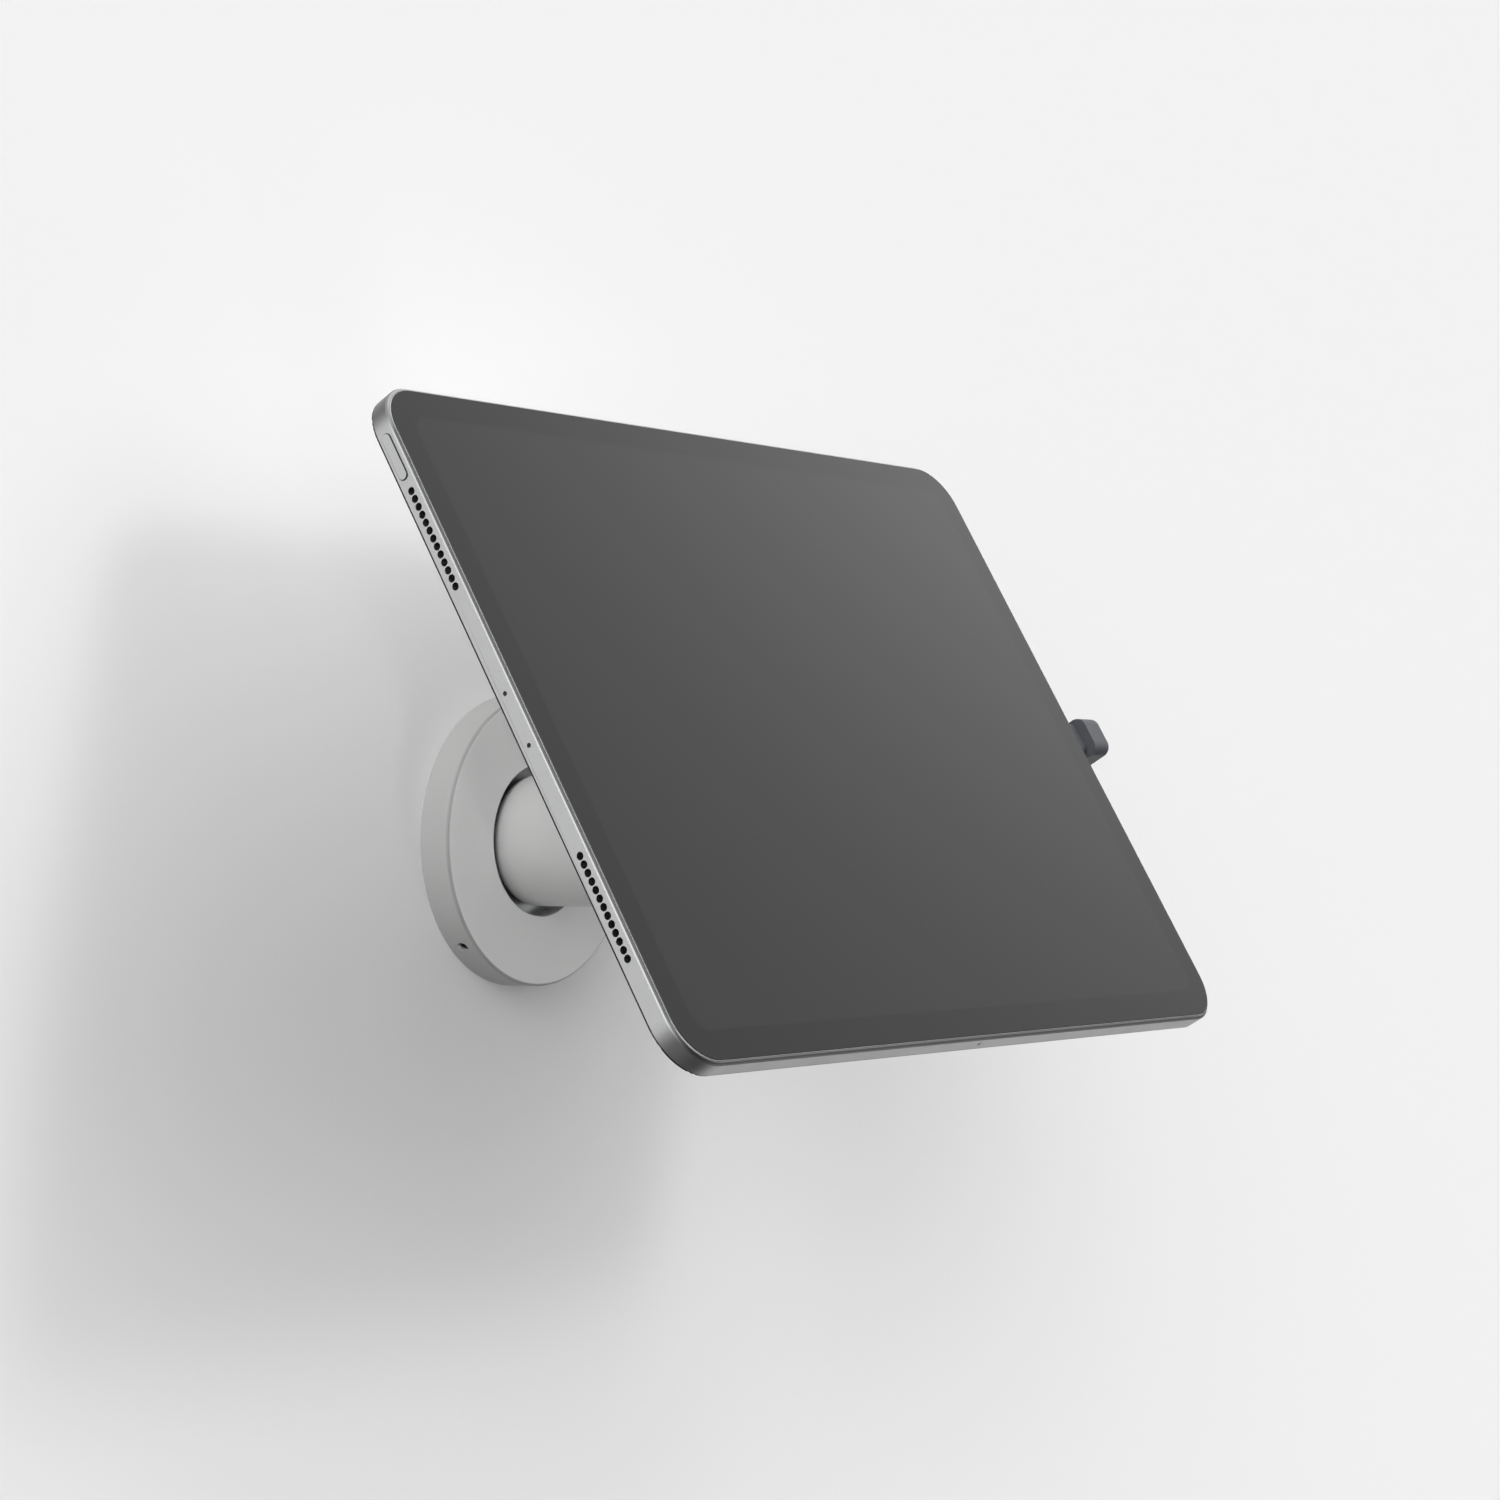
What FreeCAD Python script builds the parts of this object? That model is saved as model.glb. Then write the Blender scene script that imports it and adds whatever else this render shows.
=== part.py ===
import FreeCAD, Part
import math
import os

# Tablet wall mount with its tablet. All sizes are in millimetres.
#
# World frame: the origin is on the wall, at the centre of the round base. +X runs to the right
# along the wall, +Y into the wall and +Z up. The neck lies on the world's Y axis.
# Pieces are drawn in one of two local frames, in which z always points out into the room:
# the wall frame, with y up, for the base and the neck, and the head frame, with its origin on
# the tilt pivot and y up along the leaning tablet, for the head and everything on it.

# Wall base
BASE_DIAMETER = 77.5
BASE_DEPTH = 9.4
BASE_EDGE_ROUND = 0.9
BASE_MOUTH_DIAMETER = 40.0
BASE_MOUTH_EDGE = 0.35
BASE_FRONT_WALL = 3.0
BASE_RIM_WALL = 3.5
WALL_PLATE_SIDE_GAP = 0.2
WALL_PLATE_FRONT_GAP = 0.2
WALL_PLATE_SEAT_PLAY = 0.2
WALL_SCREW_COUNT = 4
WALL_SCREW_ANGLE = 45.0
WALL_SCREW_EDGE = 5.55
WALL_SCREW_HOLE = 4.5
WALL_SCREW_SINK = 8.6
GRUB_DIAMETER = 3.0
GRUB_LENGTH = 3.9
GRUB_TIP = 1.0
GRUB_KEY_DEPTH = 1.6
GRUB_ANGLE = -134.5
GRUB_PLAY = 0.02

# Swivel of the neck in the wall plate
SWIVEL_RANGE = 90.0
SPIGOT_DIAMETER = 24.0
SWIVEL_FLOOR = 2.4
SWIVEL_WASHER = 0.5
SWIVEL_WASHER_RIM = 1.4
RETAINER_DIAMETER = 30.0
RETAINER_THICKNESS = 1.6
RETAINER_WALL_GAP = 0.3
RETAINER_SIDE_GAP = 0.5
RETAINER_SCREW_RADIUS = 9.5
RETAINER_STEP = 2.0
STOP_LUG_HALF_ANGLE = 8.0
STOP_LUG_SLACK = 1.2
THRUST_PLAY = 0.1

# Neck and tilt knuckle
NECK_DIAMETER = 35.0
NECK_REACH = 53.0
NECK_END_ROUND = 4.0
LEAD_WAY_DIAMETER = 14.0
KNUCKLE_GAP = 1.0
FORK_SLOT = 15.0
TILT_WASHER = 0.6
TILT_WASHER_DIAMETER = 16.0
TILT_MIN = 0.0
TILT_MAX = 40.0
TABLET_LEAN = 30.0
PIVOT_DIAMETER = 8.0
PIVOT_HEAD_DIAMETER = 13.0
PIVOT_HEAD_THICKNESS = 3.4
PIVOT_SINK_DIAMETER = 15.0
PIVOT_WEB = 3.0
PIVOT_KEY = 5.0
PIVOT_KEY_DEPTH = 2.4
PIVOT_NUT_FLATS = 12.2
PIVOT_NUT_THICKNESS = 3.2
SPRING_WASHER = 0.6
SPRING_WASHER_COUNT = 2
SPRING_WASHER_DIAMETER = 12.6
CAP_THICKNESS = 1.9
TILT_PIN_DIAMETER = 3.0
TILT_PIN_RADIUS = 12.5
TILT_PIN_REACH = 13.0
TONGUE_WAY_DIAMETER = 5.5
TONGUE_WAY_NEAR = 5.0
TONGUE_WAY_FAR = 10.5

# Head and turntable
FLANGE_DIAMETER = 60.0
FLANGE_THICKNESS = 4.0
FLANGE_FILLET = 6.0
FLANGE_EDGE = 0.6
HEAD_FLOOR = 2.5
HEAD_BORE = 16.0
HUB_DIAMETER = 26.0
SLIP_WASHER = 0.5
SLIP_WASHER_DIAMETER = 44.0
TURN_RANGE = 90.0
TURN_PIN_DIAMETER = 3.0
TURN_PIN_CIRCLE = 50.0
TURN_PIN_PROUD = 2.2
TURN_PIN_COVER = 1.5
TURN_PIN_ANGLE = 135.0
TURN_RING_DIAMETER = 36.0
TURN_RING_THICKNESS = 1.5
TURN_RING_SIDE_GAP = 0.5
TURN_RING_SINK = 4.2
TURN_SCREW_RADIUS = 10.5

# Carrier plate and pad
PLATE_WIDTH = 110.0
PLATE_HEIGHT = 75.0
PLATE_THICKNESS = 6.0
PLATE_CORNER = 12.0
PLATE_EDGE = 1.2
PAD_THICKNESS = 1.0
PAD_INSET = 1.5

# Small screws that hold the retainer and the turntable ring
SMALL_SCREW_COUNT = 3
SMALL_SCREW_DIAMETER = 2.5
SMALL_SCREW_HEAD = 4.6
SMALL_SCREW_SINK = 1.05
SMALL_SCREW_LENGTH = 7.0
SMALL_SCREW_KEY = 1.6

# Shared clearances
RUNNING_FIT = 0.05
SLOT_PLAY = 0.3
SLIVER = 0.01
OVERCUT = 1.0
SAME_PLACE = 1e-4

# Tablet
PIVOT_TO_GLASS = 57.3
TABLET_WIDTH = 247.6
TABLET_HEIGHT = 178.5
TABLET_THICKNESS = 5.9
TABLET_CORNER = 12.5
HOUSING_DROP = 0.35
HOUSING_FRONT_CHAMFER = 0.6
HOUSING_BACK_ROUND = 0.45
HOUSING_WALL = 3.2
HOUSING_FLOOR = 1.0
GLASS_THICKNESS = 0.7
GLASS_INSET = 0.95
GLASS_GAP = 0.2
GLASS_EDGE = 0.2
PANEL_THICKNESS = 1.4
PANEL_INSET = 7.6
CELL_THICKNESS = 2.6
CELL_CORNER = 2.0
CELL_SPACING = 4.0
CELL_END_GAP = 11.6
CELL_SIDE_GAP = 26.05
CELL_BOARD_GAP = 1.0
BOARD_WIDTH = 30.0
BOARD_THICKNESS = 1.6
BOARD_CORNER = 1.5
BOARD_SIDE_GAP = 11.05
BOARD_PORT_GAP = 0.8

# Openings and buttons on the tablet's sides; depths are measured from the glass
SIDE_HOLE_DEPTH = 3.0
SPEAKER_HOLES = 13
SPEAKER_HOLE_DIAMETER = 1.9
SPEAKER_HOLE_PITCH = 2.15
SPEAKER_CORNER_GAP = 28.3
SPEAKER_MESH = 0.3
SPEAKER_MESH_WIDTH = 3.2
SPEAKER_MESH_CORNER = 0.8
MIC_DIAMETER = 1.15
MIC_OFFSET = 6.75
MIC_DEPTH = 1.5
BUTTON_DEPTH = 3.2
BUTTON_WIDTH = 2.4
BUTTON_GAP = 0.12
BUTTON_PROUD = 0.3
BUTTON_TRAVEL = 0.25
BUTTON_FLANGE = 0.7
BUTTON_LIP = 0.35
POWER_LENGTH = 12.1
POWER_FROM_TOP = 18.85
VOLUME_LENGTH = 11.0
VOLUME_FROM_SIDE = 27.8
VOLUME_SPACING = 15.0
SWITCH_THICKNESS = 1.2
SWITCH_LENGTH = 5.0
SWITCH_WIDTH = 1.8
SWITCH_CORNER = 0.3
SWITCH_PLAY = 0.03

# Rear camera, in the corner by the power button
CAMERA_FROM_SIDE = 17.3
CAMERA_FROM_TOP = 17.25
CAMERA_DIAMETER = 15.0
CAMERA_PROUD = 1.2
CAMERA_RIM = 1.5
CAMERA_EDGE = 0.35
CAMERA_GLASS_THICKNESS = 1.0
CAMERA_GLASS_DROP = 0.2
FLASH_DIAMETER = 5.0
FLASH_SPACING = 15.5
FLASH_THICKNESS = 0.6

# Charge port, plug and lead
PORT_WIDTH = 9.0
PORT_HEIGHT = 3.2
PORT_WALL = 0.3
PORT_LENGTH = 7.0
PORT_BACK = 0.6
PORT_TONGUE_WIDTH = 6.6
PORT_TONGUE_HEIGHT = 0.7
PORT_TONGUE_LENGTH = 4.6
PORT_TONGUE_CORNER = 0.1
PORT_DEPTH = 2.95
SHELL_PLAY = 0.1
SHELL_WALL = 0.35
SHELL_LENGTH = 5.6
PLUG_GAP = 3.4
PLUG_LENGTH = 8.8
PLUG_WIDTH = 11.6
PLUG_SHIFT = -0.4
PLUG_PROUD = 2.1
PLUG_CORNER = 3.0
PLUG_END_ROUND = 1.3
PLUG_FOOT_THICKNESS = 6.0
PLUG_FOOT_LENGTH = 22.0
PLUG_FOOT_CORNER = 2.2
PLUG_NOSE_WIDTH = 10.4
PLUG_NOSE_HEIGHT = 4.6
PLUG_NOSE_GAP = 0.3
RELIEF_LENGTH = 13.0
RELIEF_DIAMETER = 5.4
RELIEF_TIP_WALL = 0.5
RELIEF_GROOVES = 4
RELIEF_GROOVE_WIDTH = 1.0
RELIEF_GROOVE_DEPTH = 0.45
LEAD_DIAMETER = 3.6
LEAD_STEP = 9.1
LEAD_RUN = 13.0
LEAD_BEND_SHARE = 0.45
GLAND_LENGTH = 9.0
GLAND_DIAMETER = 4.8
GLAND_COLLAR = 5.6
GLAND_COLLAR_THICKNESS = 1.2

V = FreeCAD.Vector
ACROSS = V(1, 0, 0)
OUTWARD = V(0, 0, 1)
ALONG_X = FreeCAD.Rotation(V(1, 1, 1), 120)
ALONG_Y = FreeCAD.Rotation(ACROSS, -90)
DOWN_ANGLE = -90.0

# Places worked out from the sizes above: z in the wall frame
FLOOR_BACK = RETAINER_WALL_GAP + RETAINER_THICKNESS + THRUST_PLAY
FLOOR_FRONT = FLOOR_BACK + SWIVEL_FLOOR
SHOULDER = FLOOR_FRONT + SWIVEL_WASHER
SPIGOT_BACK = RETAINER_WALL_GAP + RETAINER_THICKNESS
WALL_PLATE_DEPTH = BASE_DEPTH - BASE_FRONT_WALL - WALL_PLATE_FRONT_GAP
WALL_PLATE_RADIUS = BASE_DIAMETER / 2 - BASE_RIM_WALL - WALL_PLATE_SIDE_GAP
WALL_SCREW_CIRCLE = 2 * (WALL_PLATE_RADIUS - WALL_SCREW_EDGE)
KNUCKLE_RADIUS = NECK_DIAMETER / 2
KNUCKLE_CLEAR = KNUCKLE_RADIUS + KNUCKLE_GAP
TONGUE_HALF = FORK_SLOT / 2 - TILT_WASHER
SINK_FLOOR = FORK_SLOT / 2 + PIVOT_WEB

# z in the head frame
GLASS_FRONT = PIVOT_TO_GLASS
TABLET_BACK = GLASS_FRONT - TABLET_THICKNESS
HOUSING_FRONT = GLASS_FRONT - HOUSING_DROP
GLASS_BACK = GLASS_FRONT - GLASS_THICKNESS
CAVITY_FLOOR = TABLET_BACK + HOUSING_FLOOR
PLATE_FRONT = TABLET_BACK - PAD_THICKNESS
PLATE_BACK = PLATE_FRONT - PLATE_THICKNESS
FLANGE_FRONT = PLATE_BACK - SLIP_WASHER
FLANGE_BACK = FLANGE_FRONT - FLANGE_THICKNESS
RING_SINK_FLOOR = PLATE_FRONT - TURN_RING_SINK
HUB_TOP = RING_SINK_FLOOR + THRUST_PLAY
LEAD_LEVEL = PLATE_FRONT - PLATE_THICKNESS / 2
PORT_LEVEL = GLASS_FRONT - PORT_DEPTH
SIDE_HOLE_LEVEL = GLASS_FRONT - SIDE_HOLE_DEPTH
BUTTON_LEVEL = GLASS_FRONT - BUTTON_DEPTH
BUTTON_SLACK = BUTTON_TRAVEL / 2
PLUG_FACE = TABLET_WIDTH / 2 + PLUG_GAP
PLUG_END = PLUG_FACE + PLUG_LENGTH
FOOT_END = PLUG_END - PLUG_FOOT_LENGTH
RELIEF_END = FOOT_END - RELIEF_LENGTH
INNER_WALL = TABLET_WIDTH / 2 - HOUSING_WALL
INNER_TOP = TABLET_HEIGHT / 2 - HOUSING_WALL
SPEAKER_ROW = (SPEAKER_HOLES - 1) * SPEAKER_HOLE_PITCH
SPEAKER_FIRST_OFFSET = TABLET_HEIGHT / 2 - SPEAKER_CORNER_GAP - SPEAKER_ROW
POWER_CENTRE = TABLET_HEIGHT / 2 - POWER_FROM_TOP
VOLUME_UP_CENTRE = VOLUME_FROM_SIDE - TABLET_WIDTH / 2
VOLUME_CENTRES = {"volume_up_button": VOLUME_UP_CENTRE,
                  "volume_down_button": VOLUME_UP_CENTRE + VOLUME_SPACING}
CAMERA_ACROSS = CAMERA_FROM_SIDE - TABLET_WIDTH / 2
CAMERA_UP = TABLET_HEIGHT / 2 - CAMERA_FROM_TOP
BOARD_MIDDLE = TABLET_WIDTH / 2 - PORT_LENGTH - BOARD_PORT_GAP - BOARD_WIDTH / 2

WALL_FRAME = FreeCAD.Placement(V(0, 0, 0), FreeCAD.Rotation(ACROSS, 90))
HEAD_FRAME = FreeCAD.Placement(V(0, -NECK_REACH, 0), FreeCAD.Rotation(ACROSS, 90 - TABLET_LEAN))


def outline(points, upright=False):
    """Closed wire through (a, b) or (a, b, corner radius) points, in the xy or the xz plane."""
    corners = [V(p[0], 0, p[1]) if upright else V(p[0], p[1], 0) for p in points]
    count = len(corners)
    starts, middles, ends = [], [], []
    for i, point in enumerate(points):
        corner = corners[i]
        radius = point[2] if len(point) == 3 else 0
        before = (corners[i - 1] - corner).normalize()
        after = (corners[(i + 1) % count] - corner).normalize()
        half_turn = before.getAngle(after) / 2
        reach = radius / math.tan(half_turn)
        starts.append(corner + before * reach)
        ends.append(corner + after * reach)
        inward = (before + after).normalize() if radius else V(0, 0, 0)
        middles.append(corner + inward * (radius / math.sin(half_turn) - radius))
    edges = []
    for i in range(count):
        if (ends[i] - starts[i]).Length > 1e-6:
            edges.append(Part.Arc(starts[i], middles[i], ends[i]).toShape())
        following = starts[(i + 1) % count]
        if (following - ends[i]).Length > 1e-6:
            edges.append(Part.makeLine(ends[i], following))
    return Part.Wire(edges)


def turned(points):
    """Solid turned about z from its (radius, z) outline."""
    return Part.Face(outline(points, upright=True)).revolve(V(0, 0, 0), OUTWARD, 360)


def disc(diameter, bottom, top, across=0.0, up=0.0):
    """Round bar along z between two heights."""
    return Part.makeCylinder(diameter / 2, top - bottom, V(across, up, bottom))


def ring(outer, inner, bottom, top):
    """Flat ring along z between two heights."""
    return disc(outer, bottom, top).cut(disc(inner, bottom, top))


def cross_bar(diameter, start, end, up=0.0, out=0.0):
    """Round bar along x."""
    return Part.makeCylinder(diameter / 2, end - start, V(start, up, out), ACROSS)


def plate(width, height, corner, bottom, top, across=0.0, up=0.0):
    """Flat plate with round corners, square to z."""
    a, b = width / 2, height / 2
    points = [(across + i * a, up + j * b, corner) for i, j in ((1, 1), (-1, 1), (-1, -1), (1, -1))]
    return Part.Face(outline(points)).extrude(V(0, 0, top - bottom)).translated(V(0, 0, bottom))


def bar_across(length, width, corner, start, end, up, out):
    """Prism along x; its section is length along y by width along z, with round corners."""
    bar = plate(length, width, corner, 0, end - start)
    bar.Placement = FreeCAD.Placement(V(start, up, out), ALONG_X)
    return bar


def bar_upward(length, width, corner, start, end, across, out):
    """Prism along y; its section is length along x by width along z, with round corners."""
    bar = plate(length, width, corner, 0, end - start)
    bar.Placement = FreeCAD.Placement(V(across, start, out), ALONG_Y)
    return bar


def spread(shape, count, first=0.0, total=360.0):
    """Copies of a shape, evenly turned about z."""
    return [shape.rotated(V(0, 0, 0), OUTWARD, first + i * total / count) for i in range(count)]


def arc_slot(radius, width, start, end, height):
    """Curved slot about z with round ends, from one angle to the other in degrees."""
    def at(distance, angle):
        turn = math.radians(angle)
        return V(distance * math.cos(turn), distance * math.sin(turn), 0)

    half = width / 2
    middle = (start + end) / 2
    cap = math.degrees(half / radius)
    edges = [
        Part.Arc(at(radius + half, start), at(radius + half, middle), at(radius + half, end)),
        Part.Arc(at(radius + half, end), at(radius, end + cap), at(radius - half, end)),
        Part.Arc(at(radius - half, end), at(radius - half, middle), at(radius - half, start)),
        Part.Arc(at(radius - half, start), at(radius, start - cap), at(radius + half, start)),
    ]
    return Part.Face(Part.Wire([edge.toShape() for edge in edges])).extrude(V(0, 0, height))


def wedge(outer, inner, start, sweep, bottom, top):
    """Part of a flat ring, from a start angle through a sweep in degrees."""
    sector = Part.makeCylinder(outer / 2, top - bottom, V(0, 0, bottom), OUTWARD, sweep)
    return sector.rotated(V(0, 0, 0), OUTWARD, start).cut(disc(inner, bottom, top))


def edges_at(shape, height):
    """Edges of a shape that lie flat at one height."""
    return [e for e in shape.Edges if all(abs(v.Z - height) < SAME_PLACE for v in e.Vertexes)]


def hexagon(flats, bottom, top):
    """Six-sided bar along z."""
    reach = flats / math.sqrt(3)
    corners = [(reach * math.cos(math.radians(60 * i)), reach * math.sin(math.radians(60 * i)))
               for i in range(6)]
    return Part.Face(outline(corners)).extrude(V(0, 0, top - bottom)).translated(V(0, 0, bottom))


def small_screw(top):
    """Countersunk screw with its head flush at a height, pointing down."""
    head, shank = SMALL_SCREW_HEAD / 2, SMALL_SCREW_DIAMETER / 2
    end = top - SMALL_SCREW_LENGTH
    body = turned([(0, top), (head, top), (shank, top - SMALL_SCREW_SINK), (shank, end), (0, end)])
    return body.cut(hexagon(SMALL_SCREW_KEY, top - SMALL_SCREW_SINK, top))


def small_screw_hole(top, bottom):
    """Countersunk hole for a small screw, down to a height."""
    head, shank = SMALL_SCREW_HEAD / 2, SMALL_SCREW_DIAMETER / 2
    return turned([(0, top), (head, top), (shank, top - SMALL_SCREW_SINK), (shank, bottom), (0, bottom)])


# Wall base

def grub(play=0.0):
    """Set screw in the rim, pointing at the middle, its tip in the wall plate's edge."""
    radius = GRUB_DIAMETER / 2 - play
    tip = WALL_PLATE_RADIUS - GRUB_TIP
    end = tip + GRUB_LENGTH
    screw = turned([(0, tip), (radius, tip + radius), (radius, end), (0, end)])
    screw = screw.cut(hexagon(GRUB_DIAMETER / 2, end - GRUB_KEY_DEPTH, end))
    screw.Placement = FreeCAD.Placement(V(0, 0, BASE_DEPTH / 2), ALONG_X)
    return screw.rotated(V(0, 0, 0), OUTWARD, GRUB_ANGLE)


def wall_plate():
    """Disc that is screwed to the wall and holds the neck's spigot."""
    mouth = BASE_MOUTH_DIAMETER / 2
    body = disc(2 * WALL_PLATE_RADIUS, 0, WALL_PLATE_DEPTH)
    seat = disc(2 * (mouth + WALL_PLATE_SEAT_PLAY), FLOOR_FRONT, WALL_PLATE_DEPTH)
    pocket_diameter = RETAINER_DIAMETER + 2 * RETAINER_SIDE_GAP
    lug_inner = RETAINER_DIAMETER - 2 * RETAINER_STEP + 2 * RETAINER_SIDE_GAP
    lug = wedge(pocket_diameter + OVERCUT, lug_inner, DOWN_ANGLE - STOP_LUG_HALF_ANGLE,
                2 * STOP_LUG_HALF_ANGLE, 0, FLOOR_BACK)
    pocket = disc(pocket_diameter, 0, FLOOR_BACK).cut(lug)
    spigot_hole = disc(SPIGOT_DIAMETER + 2 * RUNNING_FIT, 0, WALL_PLATE_DEPTH)
    sink = (WALL_SCREW_SINK - WALL_SCREW_HOLE) / 2
    hole = turned([(0, 0), (WALL_SCREW_HOLE / 2, 0), (WALL_SCREW_HOLE / 2, WALL_PLATE_DEPTH - sink),
                   (WALL_SCREW_SINK / 2, WALL_PLATE_DEPTH), (0, WALL_PLATE_DEPTH)])
    holes = spread(hole.translated(V(WALL_SCREW_CIRCLE / 2, 0, 0)), WALL_SCREW_COUNT,
                   WALL_SCREW_ANGLE)
    return body.cut([seat, pocket, spigot_hole, grub()] + holes)


def base_cover():
    """Round cover that slides over the neck and hides the wall plate."""
    outer, mouth = BASE_DIAMETER / 2, BASE_MOUTH_DIAMETER / 2
    pocket, web = outer - BASE_RIM_WALL, BASE_DEPTH - BASE_FRONT_WALL
    body = turned([(mouth, web), (pocket, web), (pocket, 0), (outer, 0),
                   (outer, BASE_DEPTH, BASE_EDGE_ROUND), (mouth, BASE_DEPTH, BASE_MOUTH_EDGE)])
    channel = cross_bar(GRUB_DIAMETER, 0, outer, 0, BASE_DEPTH / 2).rotated(V(0, 0, 0), OUTWARD, GRUB_ANGLE)
    return body.cut(channel)


def swivel_retainer():
    """Plate on the spigot's back end; the step in its rim meets the stop lug."""
    body = ring(RETAINER_DIAMETER, LEAD_WAY_DIAMETER, RETAINER_WALL_GAP, SPIGOT_BACK)
    half = SWIVEL_RANGE + STOP_LUG_HALF_ANGLE + STOP_LUG_SLACK
    relief = wedge(RETAINER_DIAMETER + OVERCUT, RETAINER_DIAMETER - 2 * RETAINER_STEP, DOWN_ANGLE - half,
                   2 * half, RETAINER_WALL_GAP, SPIGOT_BACK)
    return body.cut([relief] + retainer_screw_holes())


def retainer_screws():
    """Screws that hold the retainer, driven from the wall side."""
    screw = small_screw(0).rotated(V(0, 0, 0), ACROSS, 180)
    return spread(screw.translated(V(0, RETAINER_SCREW_RADIUS, RETAINER_WALL_GAP)), SMALL_SCREW_COUNT)


def retainer_screw_holes():
    """Holes for those screws through the retainer and into the spigot."""
    hole = small_screw_hole(0, -SMALL_SCREW_LENGTH).rotated(V(0, 0, 0), ACROSS, 180)
    return spread(hole.translated(V(0, RETAINER_SCREW_RADIUS, RETAINER_WALL_GAP)), SMALL_SCREW_COUNT)


# Neck and knuckle

def rounded_end(out):
    """Room that a rounded knuckle end may fill: all below the pivot, and a bar's round above it."""
    size = 2 * NECK_DIAMETER
    below = Part.makeBox(size, size, size + out, V(-size / 2, -size / 2, -size))
    return below.fuse(cross_bar(NECK_DIAMETER, -size / 2, size / 2, 0, out))


def neck():
    """Round neck with a spigot at the wall end and a fork at the tilt pivot."""
    outer, spigot = NECK_DIAMETER / 2, SPIGOT_DIAMETER / 2
    slot_floor = NECK_REACH - KNUCKLE_CLEAR
    end = NECK_REACH + KNUCKLE_RADIUS
    body = turned([(0, SPIGOT_BACK), (spigot, SPIGOT_BACK), (spigot, SHOULDER),
                   (outer, SHOULDER, NECK_END_ROUND), (outer, end), (0, end)])
    body = body.common(rounded_end(NECK_REACH))
    lead_way = disc(LEAD_WAY_DIAMETER, SPIGOT_BACK, slot_floor)
    slot = Part.makeBox(FORK_SLOT, NECK_DIAMETER, end - slot_floor, V(-FORK_SLOT / 2, -outer, slot_floor))
    pivot_bore = cross_bar(PIVOT_DIAMETER + 2 * RUNNING_FIT, -outer, outer, 0, NECK_REACH)
    sinks = [cross_bar(PIVOT_SINK_DIAMETER, SINK_FLOOR, outer, 0, NECK_REACH),
             cross_bar(PIVOT_SINK_DIAMETER, -outer, -SINK_FLOOR, 0, NECK_REACH)]
    pin_bore = cross_bar(TILT_PIN_DIAMETER, -TILT_PIN_REACH, outer, 0, NECK_REACH - TILT_PIN_RADIUS)
    return body.cut([lead_way, slot, pivot_bore, pin_bore] + sinks + retainer_screw_holes())


def pivot_bolt():
    """Bolt through the fork, with a round key head on the left."""
    head = cross_bar(PIVOT_HEAD_DIAMETER, -SINK_FLOOR - PIVOT_HEAD_THICKNESS, -SINK_FLOOR, 0, NECK_REACH)
    end = SINK_FLOOR + SPRING_WASHER_COUNT * SPRING_WASHER + PIVOT_NUT_THICKNESS
    shank = cross_bar(PIVOT_DIAMETER, -SINK_FLOOR, end, 0, NECK_REACH)
    key = hexagon(PIVOT_KEY, 0, PIVOT_KEY_DEPTH)
    key.Placement = FreeCAD.Placement(V(-SINK_FLOOR - PIVOT_HEAD_THICKNESS, 0, NECK_REACH), ALONG_X)
    return head.fuse(shank).cut(key)


def pivot_nut():
    """Nut on the bolt's right end, over the spring washers."""
    start = SINK_FLOOR + SPRING_WASHER_COUNT * SPRING_WASHER
    nut = hexagon(PIVOT_NUT_FLATS, 0, PIVOT_NUT_THICKNESS).cut(disc(PIVOT_DIAMETER, 0, PIVOT_NUT_THICKNESS))
    nut.Placement = FreeCAD.Placement(V(start, 0, NECK_REACH), ALONG_X)
    return nut


def washers_on_pivot(starts, thickness, diameter):
    """Flat washers on the pivot bolt, one at each place along x."""
    washers = []
    for start in starts:
        end = start + thickness
        bore = cross_bar(PIVOT_DIAMETER + 2 * RUNNING_FIT, start, end, 0, NECK_REACH)
        washers.append(cross_bar(diameter, start, end, 0, NECK_REACH).cut(bore))
    return washers


def pivot_caps():
    """Caps that close the two sinks flush with the round of the neck."""
    skin = disc(NECK_DIAMETER, 0, NECK_REACH + KNUCKLE_RADIUS)
    inner = KNUCKLE_RADIUS - CAP_THICKNESS
    diameter = PIVOT_SINK_DIAMETER - 2 * RUNNING_FIT
    right = cross_bar(diameter, inner, KNUCKLE_RADIUS, 0, NECK_REACH).common(skin)
    return [right, right.rotated(V(0, 0, 0), OUTWARD, 180)]


def tilt_pin():
    """Pin across the fork that limits the tilt."""
    return cross_bar(TILT_PIN_DIAMETER, -TILT_PIN_REACH, TILT_PIN_REACH, 0, NECK_REACH - TILT_PIN_RADIUS)


# Head and turntable

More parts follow.
